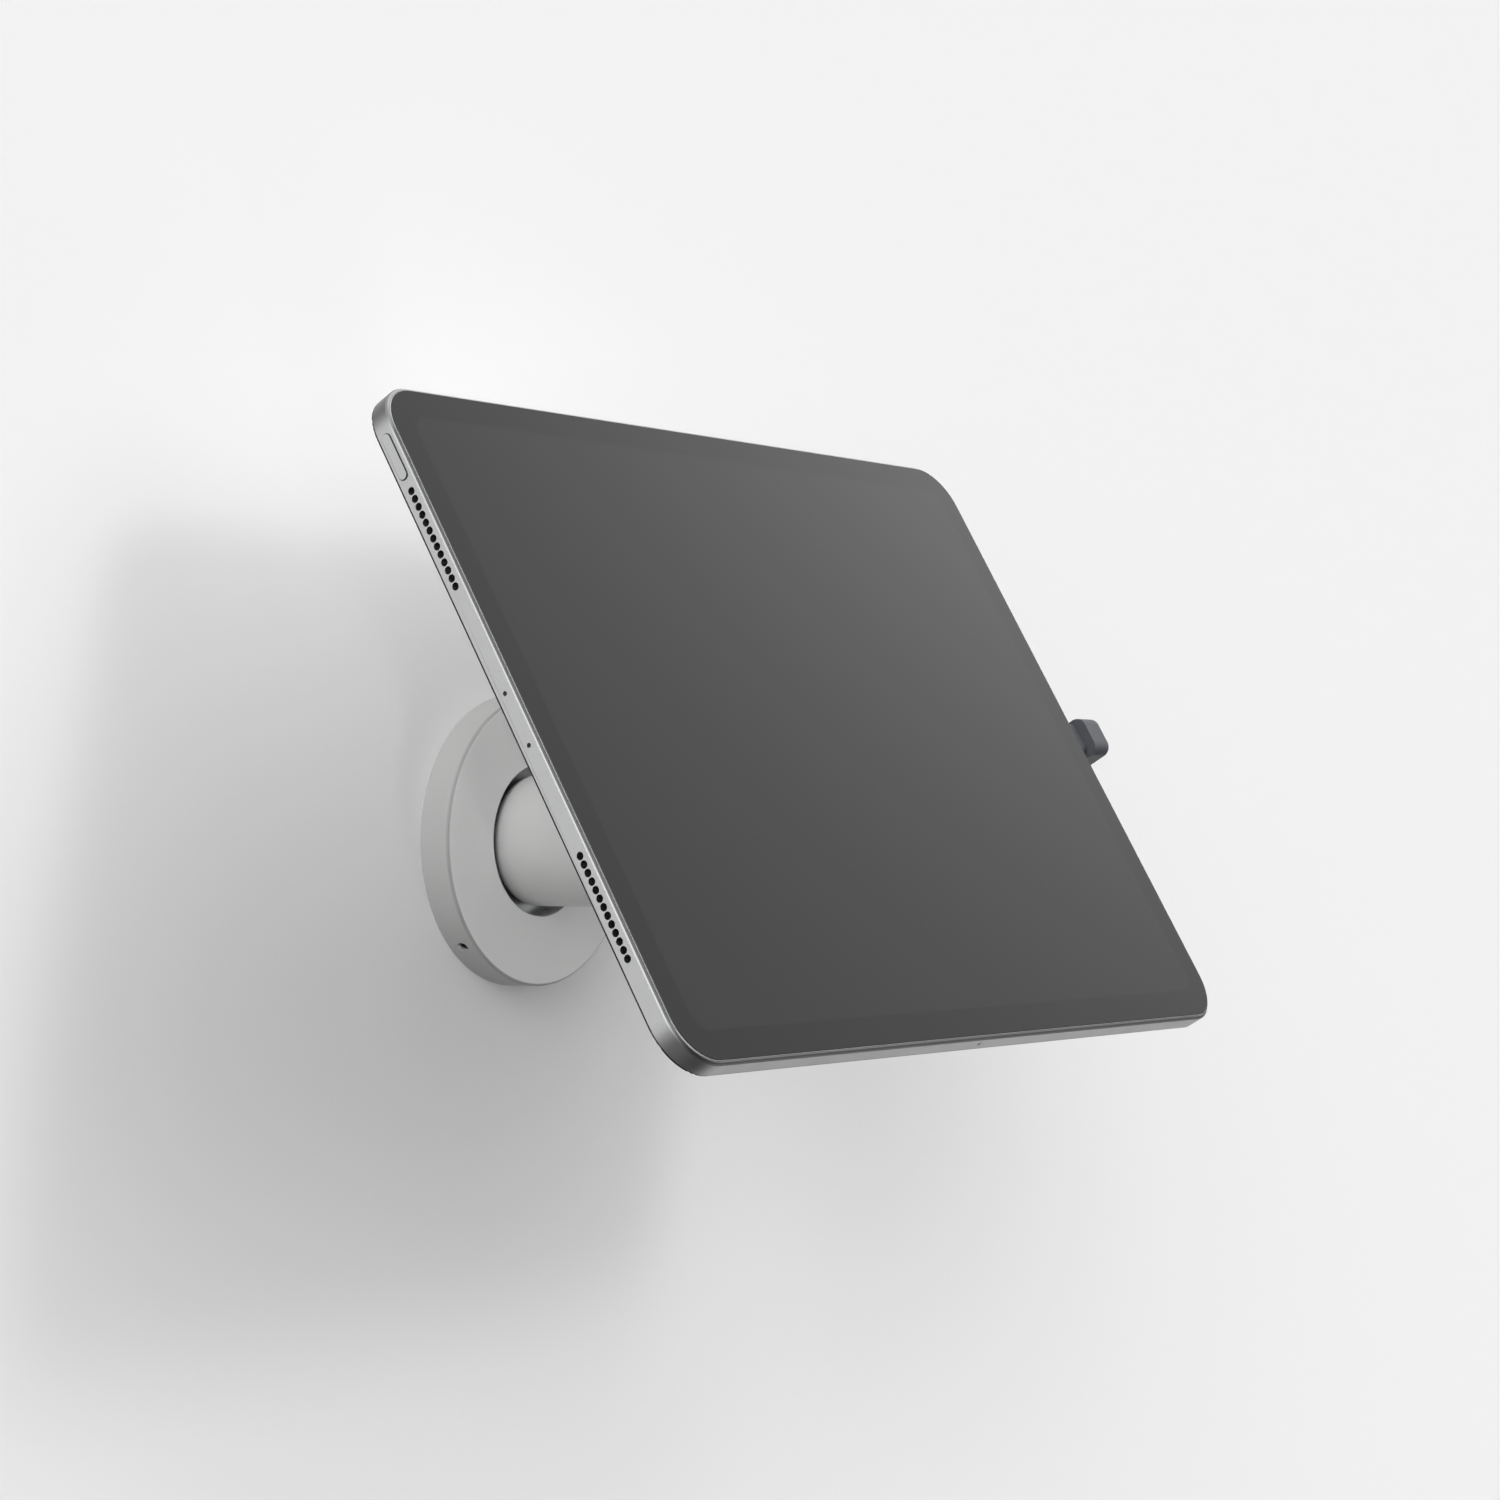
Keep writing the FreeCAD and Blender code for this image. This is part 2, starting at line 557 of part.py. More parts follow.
def head():
    """Stem with a tongue in the fork, and a flange and hub that the carrier plate turns on."""
    stem, bore, hub = NECK_DIAMETER / 2, HEAD_BORE / 2, HUB_DIAMETER / 2
    flange = FLANGE_DIAMETER / 2
    body = turned([(0, -KNUCKLE_RADIUS), (stem, -KNUCKLE_RADIUS), (stem, FLANGE_BACK, FLANGE_FILLET),
                   (flange, FLANGE_BACK, FLANGE_EDGE), (flange, FLANGE_FRONT, FLANGE_EDGE),
                   (hub, FLANGE_FRONT), (hub, HUB_TOP), (bore, HUB_TOP),
                   (bore, KNUCKLE_CLEAR + HEAD_FLOOR), (0, KNUCKLE_CLEAR + HEAD_FLOOR)])
    above = Part.makeBox(FLANGE_DIAMETER, FLANGE_DIAMETER, HUB_TOP, V(-flange, -flange, 0))
    body = body.common(above.fuse(cross_bar(NECK_DIAMETER, -stem, stem)))
    reach = KNUCKLE_CLEAR + KNUCKLE_RADIUS
    cheeks = [Part.makeBox(stem, NECK_DIAMETER, reach, V(TONGUE_HALF, -stem, -KNUCKLE_RADIUS)),
              Part.makeBox(stem, NECK_DIAMETER, reach, V(-TONGUE_HALF - stem, -stem, -KNUCKLE_RADIUS))]
    pivot_bore = cross_bar(PIVOT_DIAMETER + 2 * RUNNING_FIT, -stem, stem)
    stop_slot = arc_slot(TILT_PIN_RADIUS, TILT_PIN_DIAMETER + 2 * SLOT_PLAY, DOWN_ANGLE + TILT_MIN,
                         DOWN_ANGLE + TILT_MAX, 2 * TONGUE_HALF)
    stop_slot.Placement = FreeCAD.Placement(V(-TONGUE_HALF, 0, 0), ALONG_X)
    start = V(0, -TONGUE_WAY_NEAR, KNUCKLE_CLEAR + HEAD_FLOOR)
    finish = V(0, -TONGUE_WAY_FAR, -KNUCKLE_RADIUS)
    lead_way = Part.makeCylinder(TONGUE_WAY_DIAMETER / 2, (finish - start).Length, start, finish - start)
    return body.cut(cheeks + [pivot_bore, stop_slot, lead_way, turn_pin()] + turn_screw_holes())


def turn_pin():
    """Pin in the flange that limits the turntable."""
    pin = disc(TURN_PIN_DIAMETER, FLANGE_BACK + TURN_PIN_COVER, PLATE_BACK + TURN_PIN_PROUD,
               TURN_PIN_CIRCLE / 2)
    return pin.rotated(V(0, 0, 0), OUTWARD, TURN_PIN_ANGLE)


def turn_ring():
    """Ring on the hub that keeps the carrier plate on."""
    body = ring(TURN_RING_DIAMETER, HEAD_BORE, HUB_TOP, HUB_TOP + TURN_RING_THICKNESS)
    return body.cut(turn_screw_holes())


def turn_screws():
    """Screws that hold the ring to the hub."""
    screw = small_screw(HUB_TOP + TURN_RING_THICKNESS).translated(V(0, TURN_SCREW_RADIUS, 0))
    return spread(screw, SMALL_SCREW_COUNT)


def turn_screw_holes():
    """Holes for those screws through the ring and into the hub."""
    top = HUB_TOP + TURN_RING_THICKNESS
    hole = small_screw_hole(top, top - SMALL_SCREW_LENGTH).translated(V(0, TURN_SCREW_RADIUS, 0))
    return spread(hole, SMALL_SCREW_COUNT)


def carrier_plate():
    """Plate that carries the tablet, with the turntable's seat and a channel for the lead."""
    body = plate(PLATE_WIDTH, PLATE_HEIGHT, PLATE_CORNER, PLATE_BACK, PLATE_FRONT)
    body = body.makeChamfer(PLATE_EDGE, edges_at(body, PLATE_BACK))
    hub_hole = disc(HUB_DIAMETER + 2 * RUNNING_FIT, PLATE_BACK, PLATE_FRONT)
    ring_sink = disc(TURN_RING_DIAMETER + 2 * TURN_RING_SIDE_GAP, RING_SINK_FLOOR, PLATE_FRONT)
    slot = arc_slot(TURN_PIN_CIRCLE / 2, TURN_PIN_DIAMETER + 2 * SLOT_PLAY, TURN_PIN_ANGLE,
                    TURN_PIN_ANGLE + TURN_RANGE, TURN_PIN_PROUD + SLOT_PLAY).translated(V(0, 0, PLATE_BACK))
    edge = PLATE_WIDTH / 2
    gland_hole = cross_bar(GLAND_DIAMETER, edge - GLAND_LENGTH, edge, gland_up(), LEAD_LEVEL)
    channel_floor = LEAD_LEVEL - LEAD_DIAMETER / 2
    channel = Part.makeBox(edge - GLAND_LENGTH, LEAD_DIAMETER, PLATE_FRONT - channel_floor,
                           V(0, gland_up() - LEAD_DIAMETER / 2, channel_floor))
    channel = channel.cut(disc(TURN_RING_DIAMETER, PLATE_BACK, PLATE_FRONT))
    return body.cut([hub_hole, ring_sink, slot, gland_hole, channel])


def pad():
    """Adhesive pad between the carrier plate and the tablet."""
    return plate(PLATE_WIDTH - 2 * PAD_INSET, PLATE_HEIGHT - 2 * PAD_INSET, PLATE_CORNER - PAD_INSET,
                 PLATE_FRONT, TABLET_BACK)


# Tablet

def tablet_slab(inset, bottom, top):
    """Slab with the tablet's outline, smaller by an inset all round."""
    return plate(TABLET_WIDTH - 2 * inset, TABLET_HEIGHT - 2 * inset, TABLET_CORNER - inset, bottom, top)


def speaker_places():
    """Places of the speaker holes along one side, in two rows about the middle."""
    row = [SPEAKER_FIRST_OFFSET + i * SPEAKER_HOLE_PITCH for i in range(SPEAKER_HOLES)]
    return [-up for up in row] + row


def tablet_housing():
    """Aluminium housing: a tray with holes, button slots and the port in its sides."""
    body = tablet_slab(0, TABLET_BACK, HOUSING_FRONT)
    body = body.makeChamfer(HOUSING_FRONT_CHAMFER, edges_at(body, HOUSING_FRONT))
    body = body.makeFillet(HOUSING_BACK_ROUND, edges_at(body, TABLET_BACK))
    glass_seat = tablet_slab(GLASS_INSET - GLASS_GAP, GLASS_BACK, GLASS_FRONT)
    cavity = tablet_slab(HOUSING_WALL, CAVITY_FLOOR, GLASS_BACK)
    side, top = TABLET_WIDTH / 2, TABLET_HEIGHT / 2
    cuts = [glass_seat, cavity]
    for up in speaker_places():
        cuts.append(cross_bar(SPEAKER_HOLE_DIAMETER, -side, -INNER_WALL, up, SIDE_HOLE_LEVEL))
        cuts.append(cross_bar(SPEAKER_HOLE_DIAMETER, INNER_WALL, side, up, SIDE_HOLE_LEVEL))
    for up in (-MIC_OFFSET, MIC_OFFSET):
        cuts.append(cross_bar(MIC_DIAMETER, -side, -side + MIC_DEPTH, up, SIDE_HOLE_LEVEL))
    cuts.append(disc(MIC_DIAMETER, 0, MIC_DEPTH).rotated(V(0, 0, 0), ACROSS, -90).translated(
        V(0, -top, SIDE_HOLE_LEVEL)))
    width = BUTTON_WIDTH + 2 * BUTTON_GAP
    cuts.append(bar_across(POWER_LENGTH + 2 * BUTTON_GAP, width, width / 2 - SLIVER, -side, -INNER_WALL,
                           POWER_CENTRE, BUTTON_LEVEL))
    for across in VOLUME_CENTRES.values():
        cuts.append(bar_upward(VOLUME_LENGTH + 2 * BUTTON_GAP, width, width / 2 - SLIVER, INNER_TOP, top,
                               across, BUTTON_LEVEL))
    cuts.append(stadium(PORT_WIDTH, PORT_HEIGHT, INNER_WALL, side))
    cuts.append(disc(CAMERA_DIAMETER, TABLET_BACK, CAVITY_FLOOR, CAMERA_ACROSS, CAMERA_UP))
    cuts.append(flash_lens())
    return body.cut(cuts)


def display_glass():
    """Front glass over the whole face."""
    glass = tablet_slab(GLASS_INSET, GLASS_BACK, GLASS_FRONT)
    return glass.makeChamfer(GLASS_EDGE, edges_at(glass, GLASS_FRONT))


def display_panel():
    """Display stack under the glass."""
    return tablet_slab(PANEL_INSET, GLASS_BACK - PANEL_THICKNESS, GLASS_BACK)


def battery_cells():
    """Two flat cells on the housing's floor."""
    left, right = CELL_END_GAP - INNER_WALL, BOARD_MIDDLE - BOARD_WIDTH / 2 - CELL_BOARD_GAP
    width = (right - left - CELL_SPACING) / 2
    height = 2 * (INNER_TOP - CELL_SIDE_GAP)
    return [plate(width, height, CELL_CORNER, CAVITY_FLOOR, CAVITY_FLOOR + CELL_THICKNESS, middle)
            for middle in (left + width / 2, right - width / 2)]


def main_board():
    """Circuit board beside the cells."""
    height = 2 * (INNER_TOP - BOARD_SIDE_GAP)
    high = CAVITY_FLOOR + BOARD_THICKNESS
    return plate(BOARD_WIDTH, height, BOARD_CORNER, CAVITY_FLOOR, high, BOARD_MIDDLE)


def speaker_meshes():
    """Strips of mesh behind the four rows of speaker holes."""
    length = SPEAKER_ROW + 2 * SPEAKER_HOLE_DIAMETER
    centre = SPEAKER_FIRST_OFFSET + SPEAKER_ROW / 2
    strips = []
    for up in (-centre, centre):
        for start in (-INNER_WALL, INNER_WALL - SPEAKER_MESH):
            strips.append(bar_across(length, SPEAKER_MESH_WIDTH, SPEAKER_MESH_CORNER, start,
                                     start + SPEAKER_MESH, up, SIDE_HOLE_LEVEL))
    return strips


def button(length, place, side, bar):
    """Button whose head fills its slot, with a flange inside the wall that keeps it in.

    bar draws a prism inward from the tablet's left or top side, and side is that side's distance.
    """
    neck_end = side - HOUSING_WALL - BUTTON_SLACK
    head = bar(length, BUTTON_WIDTH, BUTTON_WIDTH / 2 - SLIVER, neck_end, side + BUTTON_PROUD, place)
    flange = bar(length + 2 * BUTTON_LIP, BUTTON_WIDTH + 2 * BUTTON_LIP, BUTTON_WIDTH / 2,
                 neck_end - BUTTON_FLANGE, neck_end, place)
    return head.fuse(flange).removeSplitter()


def left_bar(length, width, corner, start, end, up):
    """Prism between two distances out along the left side's direction."""
    return bar_across(length, width, corner, -end, -start, up, BUTTON_LEVEL)


def top_bar(length, width, corner, start, end, across):
    """Prism between two distances out along the top side's direction."""
    return bar_upward(length, width, corner, start, end, across, BUTTON_LEVEL)


def button_switches():
    """Switches on the housing's floor behind the three buttons."""
    gap = BUTTON_SLACK + BUTTON_FLANGE + BUTTON_TRAVEL + SWITCH_PLAY
    top = BUTTON_LEVEL + SWITCH_WIDTH / 2
    middle, width = (CAVITY_FLOOR + top) / 2, top - CAVITY_FLOOR
    near = INNER_WALL - gap
    switches = [bar_across(SWITCH_LENGTH, width, SWITCH_CORNER, -near, -near + SWITCH_THICKNESS,
                           POWER_CENTRE, middle)]
    near = INNER_TOP - gap
    for across in VOLUME_CENTRES.values():
        switches.append(bar_upward(SWITCH_LENGTH, width, SWITCH_CORNER, near - SWITCH_THICKNESS, near,
                                   across, middle))
    return switches


def camera_ring():
    """Raised ring around the rear camera."""
    outer, inner = CAMERA_DIAMETER / 2, CAMERA_DIAMETER / 2 - CAMERA_RIM
    low, high = TABLET_BACK - CAMERA_PROUD, CAVITY_FLOOR
    shelf = low + CAMERA_GLASS_DROP + CAMERA_GLASS_THICKNESS
    body = turned([(0, high), (outer, high), (outer, low, CAMERA_EDGE), (inner, low), (inner, shelf),
                   (0, shelf)])
    return body.translated(V(CAMERA_ACROSS, CAMERA_UP, 0))


def camera_glass():
    """Glass of the rear camera."""
    low = TABLET_BACK - CAMERA_PROUD + CAMERA_GLASS_DROP
    return disc(CAMERA_DIAMETER - 2 * CAMERA_RIM, low, low + CAMERA_GLASS_THICKNESS, CAMERA_ACROSS,
                CAMERA_UP)


def flash_lens():
    """Flush lens of the flash."""
    return disc(FLASH_DIAMETER, TABLET_BACK, TABLET_BACK + FLASH_THICKNESS,
                CAMERA_ACROSS + FLASH_SPACING, CAMERA_UP)


# Port, plug and lead

def gland_up():
    """Height of the gland, below the plug by the lead's side step."""
    return PLUG_SHIFT - LEAD_STEP


def stadium(width, height, start, end):
    """Bar along x with half-round sides, at the port's level."""
    return bar_across(width, height, height / 2 - SLIVER, start, end, 0, PORT_LEVEL)


def charge_port():
    """Metal socket in the right side, with a tongue in its middle."""
    mouth = TABLET_WIDTH / 2
    deep = mouth - PORT_LENGTH
    shell = stadium(PORT_WIDTH, PORT_HEIGHT, deep, mouth)
    room = stadium(PORT_WIDTH - 2 * PORT_WALL, PORT_HEIGHT - 2 * PORT_WALL, deep + PORT_BACK, mouth)
    tongue = bar_across(PORT_TONGUE_WIDTH, PORT_TONGUE_HEIGHT, PORT_TONGUE_CORNER, deep,
                        deep + PORT_BACK + PORT_TONGUE_LENGTH, 0, PORT_LEVEL)
    return shell.cut(room).fuse(tongue).removeSplitter()


def plug_shell():
    """Metal end of the plug, in the port."""
    width = PORT_WIDTH - 2 * PORT_WALL - 2 * SHELL_PLAY
    height = PORT_HEIGHT - 2 * PORT_WALL - 2 * SHELL_PLAY
    start, end = TABLET_WIDTH / 2 - SHELL_LENGTH, TABLET_WIDTH / 2 + PLUG_NOSE_GAP
    return stadium(width, height, start, end).cut(
        stadium(width - 2 * SHELL_WALL, height - 2 * SHELL_WALL, start, end))


def plug_body():
    """Moulded plug that reaches round the tablet's edge, with a foot behind it for the lead."""
    low = LEAD_LEVEL - PLUG_FOOT_THICKNESS / 2
    high = GLASS_FRONT + PLUG_PROUD
    middle = (low + high) / 2
    column = bar_across(PLUG_WIDTH, high - low, PLUG_CORNER, PLUG_FACE, PLUG_END, PLUG_SHIFT, middle)
    end_edges = [e for e in column.Edges if all(abs(v.X - PLUG_END) < SAME_PLACE for v in e.Vertexes)]
    column = column.makeFillet(PLUG_END_ROUND, end_edges)
    foot = bar_across(PLUG_WIDTH, PLUG_FOOT_THICKNESS, PLUG_FOOT_CORNER, FOOT_END,
                      PLUG_FACE + PLUG_END_ROUND, PLUG_SHIFT, LEAD_LEVEL)
    nose = bar_across(PLUG_NOSE_WIDTH, PLUG_NOSE_HEIGHT, PLUG_NOSE_HEIGHT / 2 - SLIVER,
                      TABLET_WIDTH / 2 + PLUG_NOSE_GAP, PLUG_FACE, 0, PORT_LEVEL)
    return column.fuse([foot, nose]).removeSplitter()


def strain_relief():
    """Tapered sleeve on the lead, with ring grooves."""
    thick, thin = RELIEF_DIAMETER / 2, LEAD_DIAMETER / 2 + RELIEF_TIP_WALL
    lead = LEAD_DIAMETER / 2
    sleeve = turned([(lead, 0), (thin, 0), (thick, RELIEF_LENGTH), (lead, RELIEF_LENGTH)])
    pitch = RELIEF_LENGTH / (RELIEF_GROOVES + 1)
    for i in range(RELIEF_GROOVES):
        middle = pitch * (i + 1)
        radius = thin + (thick - thin) * middle / RELIEF_LENGTH - RELIEF_GROOVE_DEPTH
        sleeve = sleeve.cut(ring(2 * RELIEF_DIAMETER, 2 * radius, middle - RELIEF_GROOVE_WIDTH / 2,
                                 middle + RELIEF_GROOVE_WIDTH / 2))
    sleeve.Placement = FreeCAD.Placement(V(RELIEF_END, PLUG_SHIFT, LEAD_LEVEL), ALONG_X)
    return sleeve


def lead_points():
    """Points of the lead's route: out of the plug's foot, a side step, and into the gland."""
    end = PLATE_WIDTH / 2 - GLAND_LENGTH
    return [V(FOOT_END, PLUG_SHIFT, LEAD_LEVEL), V(RELIEF_END - LEAD_RUN, PLUG_SHIFT, LEAD_LEVEL),
            V(PLATE_WIDTH / 2 + LEAD_RUN, gland_up(), LEAD_LEVEL), V(end, gland_up(), LEAD_LEVEL)]


def power_lead():
    """Lead from the plug to the gland: straight runs joined by tangent arcs."""
    points = lead_points()
    edges, here = [], points[0]
    for before, corner, after in zip(points, points[1:], points[2:]):
        back, ahead = (before - corner), (after - corner)
        half_turn = (math.pi - back.getAngle(ahead)) / 2
        radius = LEAD_BEND_SHARE * LEAD_RUN / math.tan(half_turn)
        reach = radius * math.tan(half_turn)
        inward = (back.normalize() + ahead.normalize()).normalize()
        start, end = corner + back * reach, corner + ahead * reach
        middle = corner + inward * (radius / math.cos(half_turn) - radius)
        edges += [Part.makeLine(here, start), Part.Arc(start, middle, end).toShape()]
        here = end
        print("lead arc radius %.1f mm" % radius)
    edges.append(Part.makeLine(here, points[-1]))
    length = sum(edge.Length for edge in edges)
    section = Part.Wire([Part.makeCircle(LEAD_DIAMETER / 2, points[0], ACROSS)])
    tube = Part.Wire(edges).makePipeShell([section], True, False)
    print("lead length %.1f mm, volume share %.4f"
          % (length, tube.Volume / (length * math.pi * (LEAD_DIAMETER / 2) ** 2)))
    return tube


def lead_gland():
    """Bush that holds the lead where it enters the carrier plate."""
    edge = PLATE_WIDTH / 2
    sleeve = cross_bar(GLAND_DIAMETER, edge - GLAND_LENGTH, edge, gland_up(), LEAD_LEVEL)
    collar = cross_bar(GLAND_COLLAR, edge, edge + GLAND_COLLAR_THICKNESS, gland_up(), LEAD_LEVEL)
    hole = cross_bar(LEAD_DIAMETER, edge - GLAND_LENGTH, edge + GLAND_COLLAR_THICKNESS, gland_up(),
                     LEAD_LEVEL)
    return sleeve.fuse(collar).removeSplitter().cut(hole)


def save(name, solids, frame):
    """Write one node's solids, placed in the world frame."""
    solids = solids if isinstance(solids, list) else [solids]
    placed = []
    for solid in solids:
        for piece in solid.Solids:
            copy = piece.copy()
            copy.Placement = frame.multiply(copy.Placement)
            placed.append(copy)
    shape = placed[0] if len(placed) == 1 else Part.Compound(placed)
    shape.exportStep("parts/%s.step" % name)
    print("%-22s %d solid(s) %10.1f mm3 valid %s" % (name, len(placed), shape.Volume, shape.isValid()))


def main():
    os.makedirs("parts", exist_ok=True)
    washer_rim = SPIGOT_DIAMETER + 2 * RUNNING_FIT
    fork = FORK_SLOT / 2
    spring_places = [SINK_FLOOR + i * SPRING_WASHER for i in range(SPRING_WASHER_COUNT)]
    wall_side = {
        "wall_plate": wall_plate(),
        "base_cover": base_cover(),
        "base_set_screw": grub(GRUB_PLAY),
        "swivel_washer": ring(washer_rim + 2 * SWIVEL_WASHER_RIM, washer_rim, FLOOR_FRONT, SHOULDER),
        "swivel_retainer": swivel_retainer(),
        "retainer_screws": retainer_screws(),
        "neck": neck(),
        "pivot_bolt": pivot_bolt(),
        "pivot_nut": pivot_nut(),
        "spring_washers": washers_on_pivot(spring_places, SPRING_WASHER, SPRING_WASHER_DIAMETER),
        "friction_washers": washers_on_pivot([-fork, fork - TILT_WASHER], TILT_WASHER,
                                             TILT_WASHER_DIAMETER),
        "pivot_caps": pivot_caps(),
        "tilt_stop_pin": tilt_pin(),
    }
    head_side = {
        "head": head(),
        "turn_stop_pin": turn_pin(),
        "slip_washer": ring(SLIP_WASHER_DIAMETER, HUB_DIAMETER + 2 * RUNNING_FIT, FLANGE_FRONT, PLATE_BACK),
        "turn_ring": turn_ring(),
        "turn_screws": turn_screws(),
        "carrier_plate": carrier_plate(),
        "adhesive_pad": pad(),
        "tablet_housing": tablet_housing(),
        "display_glass": display_glass(),
        "display_panel": display_panel(),
        "battery_cells": battery_cells(),
        "main_board": main_board(),
        "speaker_meshes": speaker_meshes(),
        "power_button": button(POWER_LENGTH, POWER_CENTRE, TABLET_WIDTH / 2, left_bar),
        "button_switches": button_switches(),
        "rear_camera_ring": camera_ring(),
        "rear_camera_glass": camera_glass(),
        "flash_lens": flash_lens(),
        "charge_port": charge_port(),
        "plug_shell": plug_shell(),
        "plug_body": plug_body(),
        "strain_relief": strain_relief(),
        "power_lead": power_lead(),
        "lead_gland": lead_gland(),
    }
    for name, across in VOLUME_CENTRES.items():
        head_side[name] = button(VOLUME_LENGTH, across, TABLET_HEIGHT / 2, top_bar)
    for name, solids in wall_side.items():
        save(name, solids, WALL_FRAME)
    for name, solids in head_side.items():
        save(name, solids, HEAD_FRAME)


main()
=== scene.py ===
"""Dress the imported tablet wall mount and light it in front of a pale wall.

Lengths are in metres unless a name ends in _mm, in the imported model's own frame: the origin is on
the wall at the centre of the round base, +X runs to the right, +Y into the wall and +Z up.
"""

import logging
import math
from dataclasses import dataclass, field
from enum import Enum
from typing import Iterable, Mapping, Optional, Sequence

import bmesh
import bpy
from mathutils import Matrix, Vector


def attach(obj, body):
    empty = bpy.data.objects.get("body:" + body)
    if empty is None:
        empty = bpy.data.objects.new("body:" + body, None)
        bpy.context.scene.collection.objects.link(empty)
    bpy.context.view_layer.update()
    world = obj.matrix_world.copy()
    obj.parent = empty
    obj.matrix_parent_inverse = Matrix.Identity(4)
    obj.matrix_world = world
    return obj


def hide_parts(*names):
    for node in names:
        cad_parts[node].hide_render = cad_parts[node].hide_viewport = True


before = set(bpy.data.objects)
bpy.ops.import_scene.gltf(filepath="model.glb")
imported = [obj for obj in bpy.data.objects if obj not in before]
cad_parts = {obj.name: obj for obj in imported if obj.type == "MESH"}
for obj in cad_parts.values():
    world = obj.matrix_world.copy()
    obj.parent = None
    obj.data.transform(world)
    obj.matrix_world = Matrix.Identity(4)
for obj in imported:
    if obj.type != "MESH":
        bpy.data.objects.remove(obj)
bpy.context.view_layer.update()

LOG = logging.getLogger("tablet_wall_mount")
MM = 0.001
Number3 = tuple[float, float, float]
Range = tuple[float, float]
Profile = Sequence[tuple[float, float]]
Socket = bpy.types.NodeSocket
Material = bpy.types.Material


class Slot(Enum):
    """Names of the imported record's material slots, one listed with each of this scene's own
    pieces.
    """

    SCREEN = "screen_glass"
    MESH = "mesh_black"
    LENS = "lens_glass"


class Body(Enum):
    """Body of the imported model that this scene's own pieces ride on."""

    CARRIER = "carrier"


@dataclass(frozen=True)
class LocalFrame:
    """Frame of a sub-assembly: an origin and three square directions."""

    origin: Vector
    across: Vector
    up: Vector
    out: Vector

    def point(self, across_mm: float, up_mm: float, out_mm: float) -> Vector:
        """World point, in metres, of a place in this frame."""
        return self.origin + (self.across * across_mm + self.up * up_mm + self.out * out_mm) * MM

    def matrix(self, across_mm: float, up_mm: float, out_mm: float) -> Matrix:
        """Transform that puts a piece at a place in this frame, with its own z outward."""
        turn = Matrix((self.across, self.up, self.out)).transposed().to_4x4()
        return Matrix.Translation(self.point(across_mm, up_mm, out_mm)) @ turn


TABLET_LEAN = math.radians(30.0)
PIVOT_FROM_WALL_MM = 53.0
GLASS_FRONT_MM = 57.3
TABLET_BACK_MM = 51.4
BACK_ROW_UP_MM = 72.0
SHORT_SIDE_HALF_MM = 76.0
SHORT_SIDE_FADE_MM = 8.0
HEAD_FRAME = LocalFrame(
    Vector((0, -PIVOT_FROM_WALL_MM * MM, 0)),
    Vector((1, 0, 0)),
    Vector((0, math.sin(TABLET_LEAN), math.cos(TABLET_LEAN))),
    Vector((0, -math.cos(TABLET_LEAN), math.sin(TABLET_LEAN))),
)
NOISE_SPAN: Range = (0.3, 0.7)
WHITE: Number3 = (1.0, 1.0, 1.0)


class Graph:
    """A node tree under construction."""

    def __init__(self, tree: bpy.types.NodeTree) -> None:
        """Keep the tree that nodes are added to."""
        self.tree = tree

    def add(self, kind: str, inputs: Optional[Mapping] = None,
            **settings: object) -> bpy.types.Node:
        """Add one node.

        Args:
            kind: Blender's name of the node type.
            inputs: Values or source sockets by input name or number.
            settings: Properties of the node itself.

        Returns:
            The new node.
        """
        node = self.tree.nodes.new(kind)
        for key, value in settings.items():
            setattr(node, key, value)
        for key, value in (inputs or {}).items():
            self.feed(node.inputs[key], value)
        return node

    def feed(self, socket: Socket, value: object) -> None:
        """Set a socket to a value, or link a source socket to it.

        Args:
            socket: The input to feed.
            value: The value or the source socket.
        """
        if isinstance(value, Socket):
            self.tree.links.new(value, socket)
        else:
            socket.default_value = value

    def number(self, operation: str, *values: object) -> Socket:
        """Result of one arithmetic operation on sockets or numbers."""
        node = self.add("ShaderNodeMath", dict(enumerate(values)), operation=operation)
        return node.outputs["Value"]


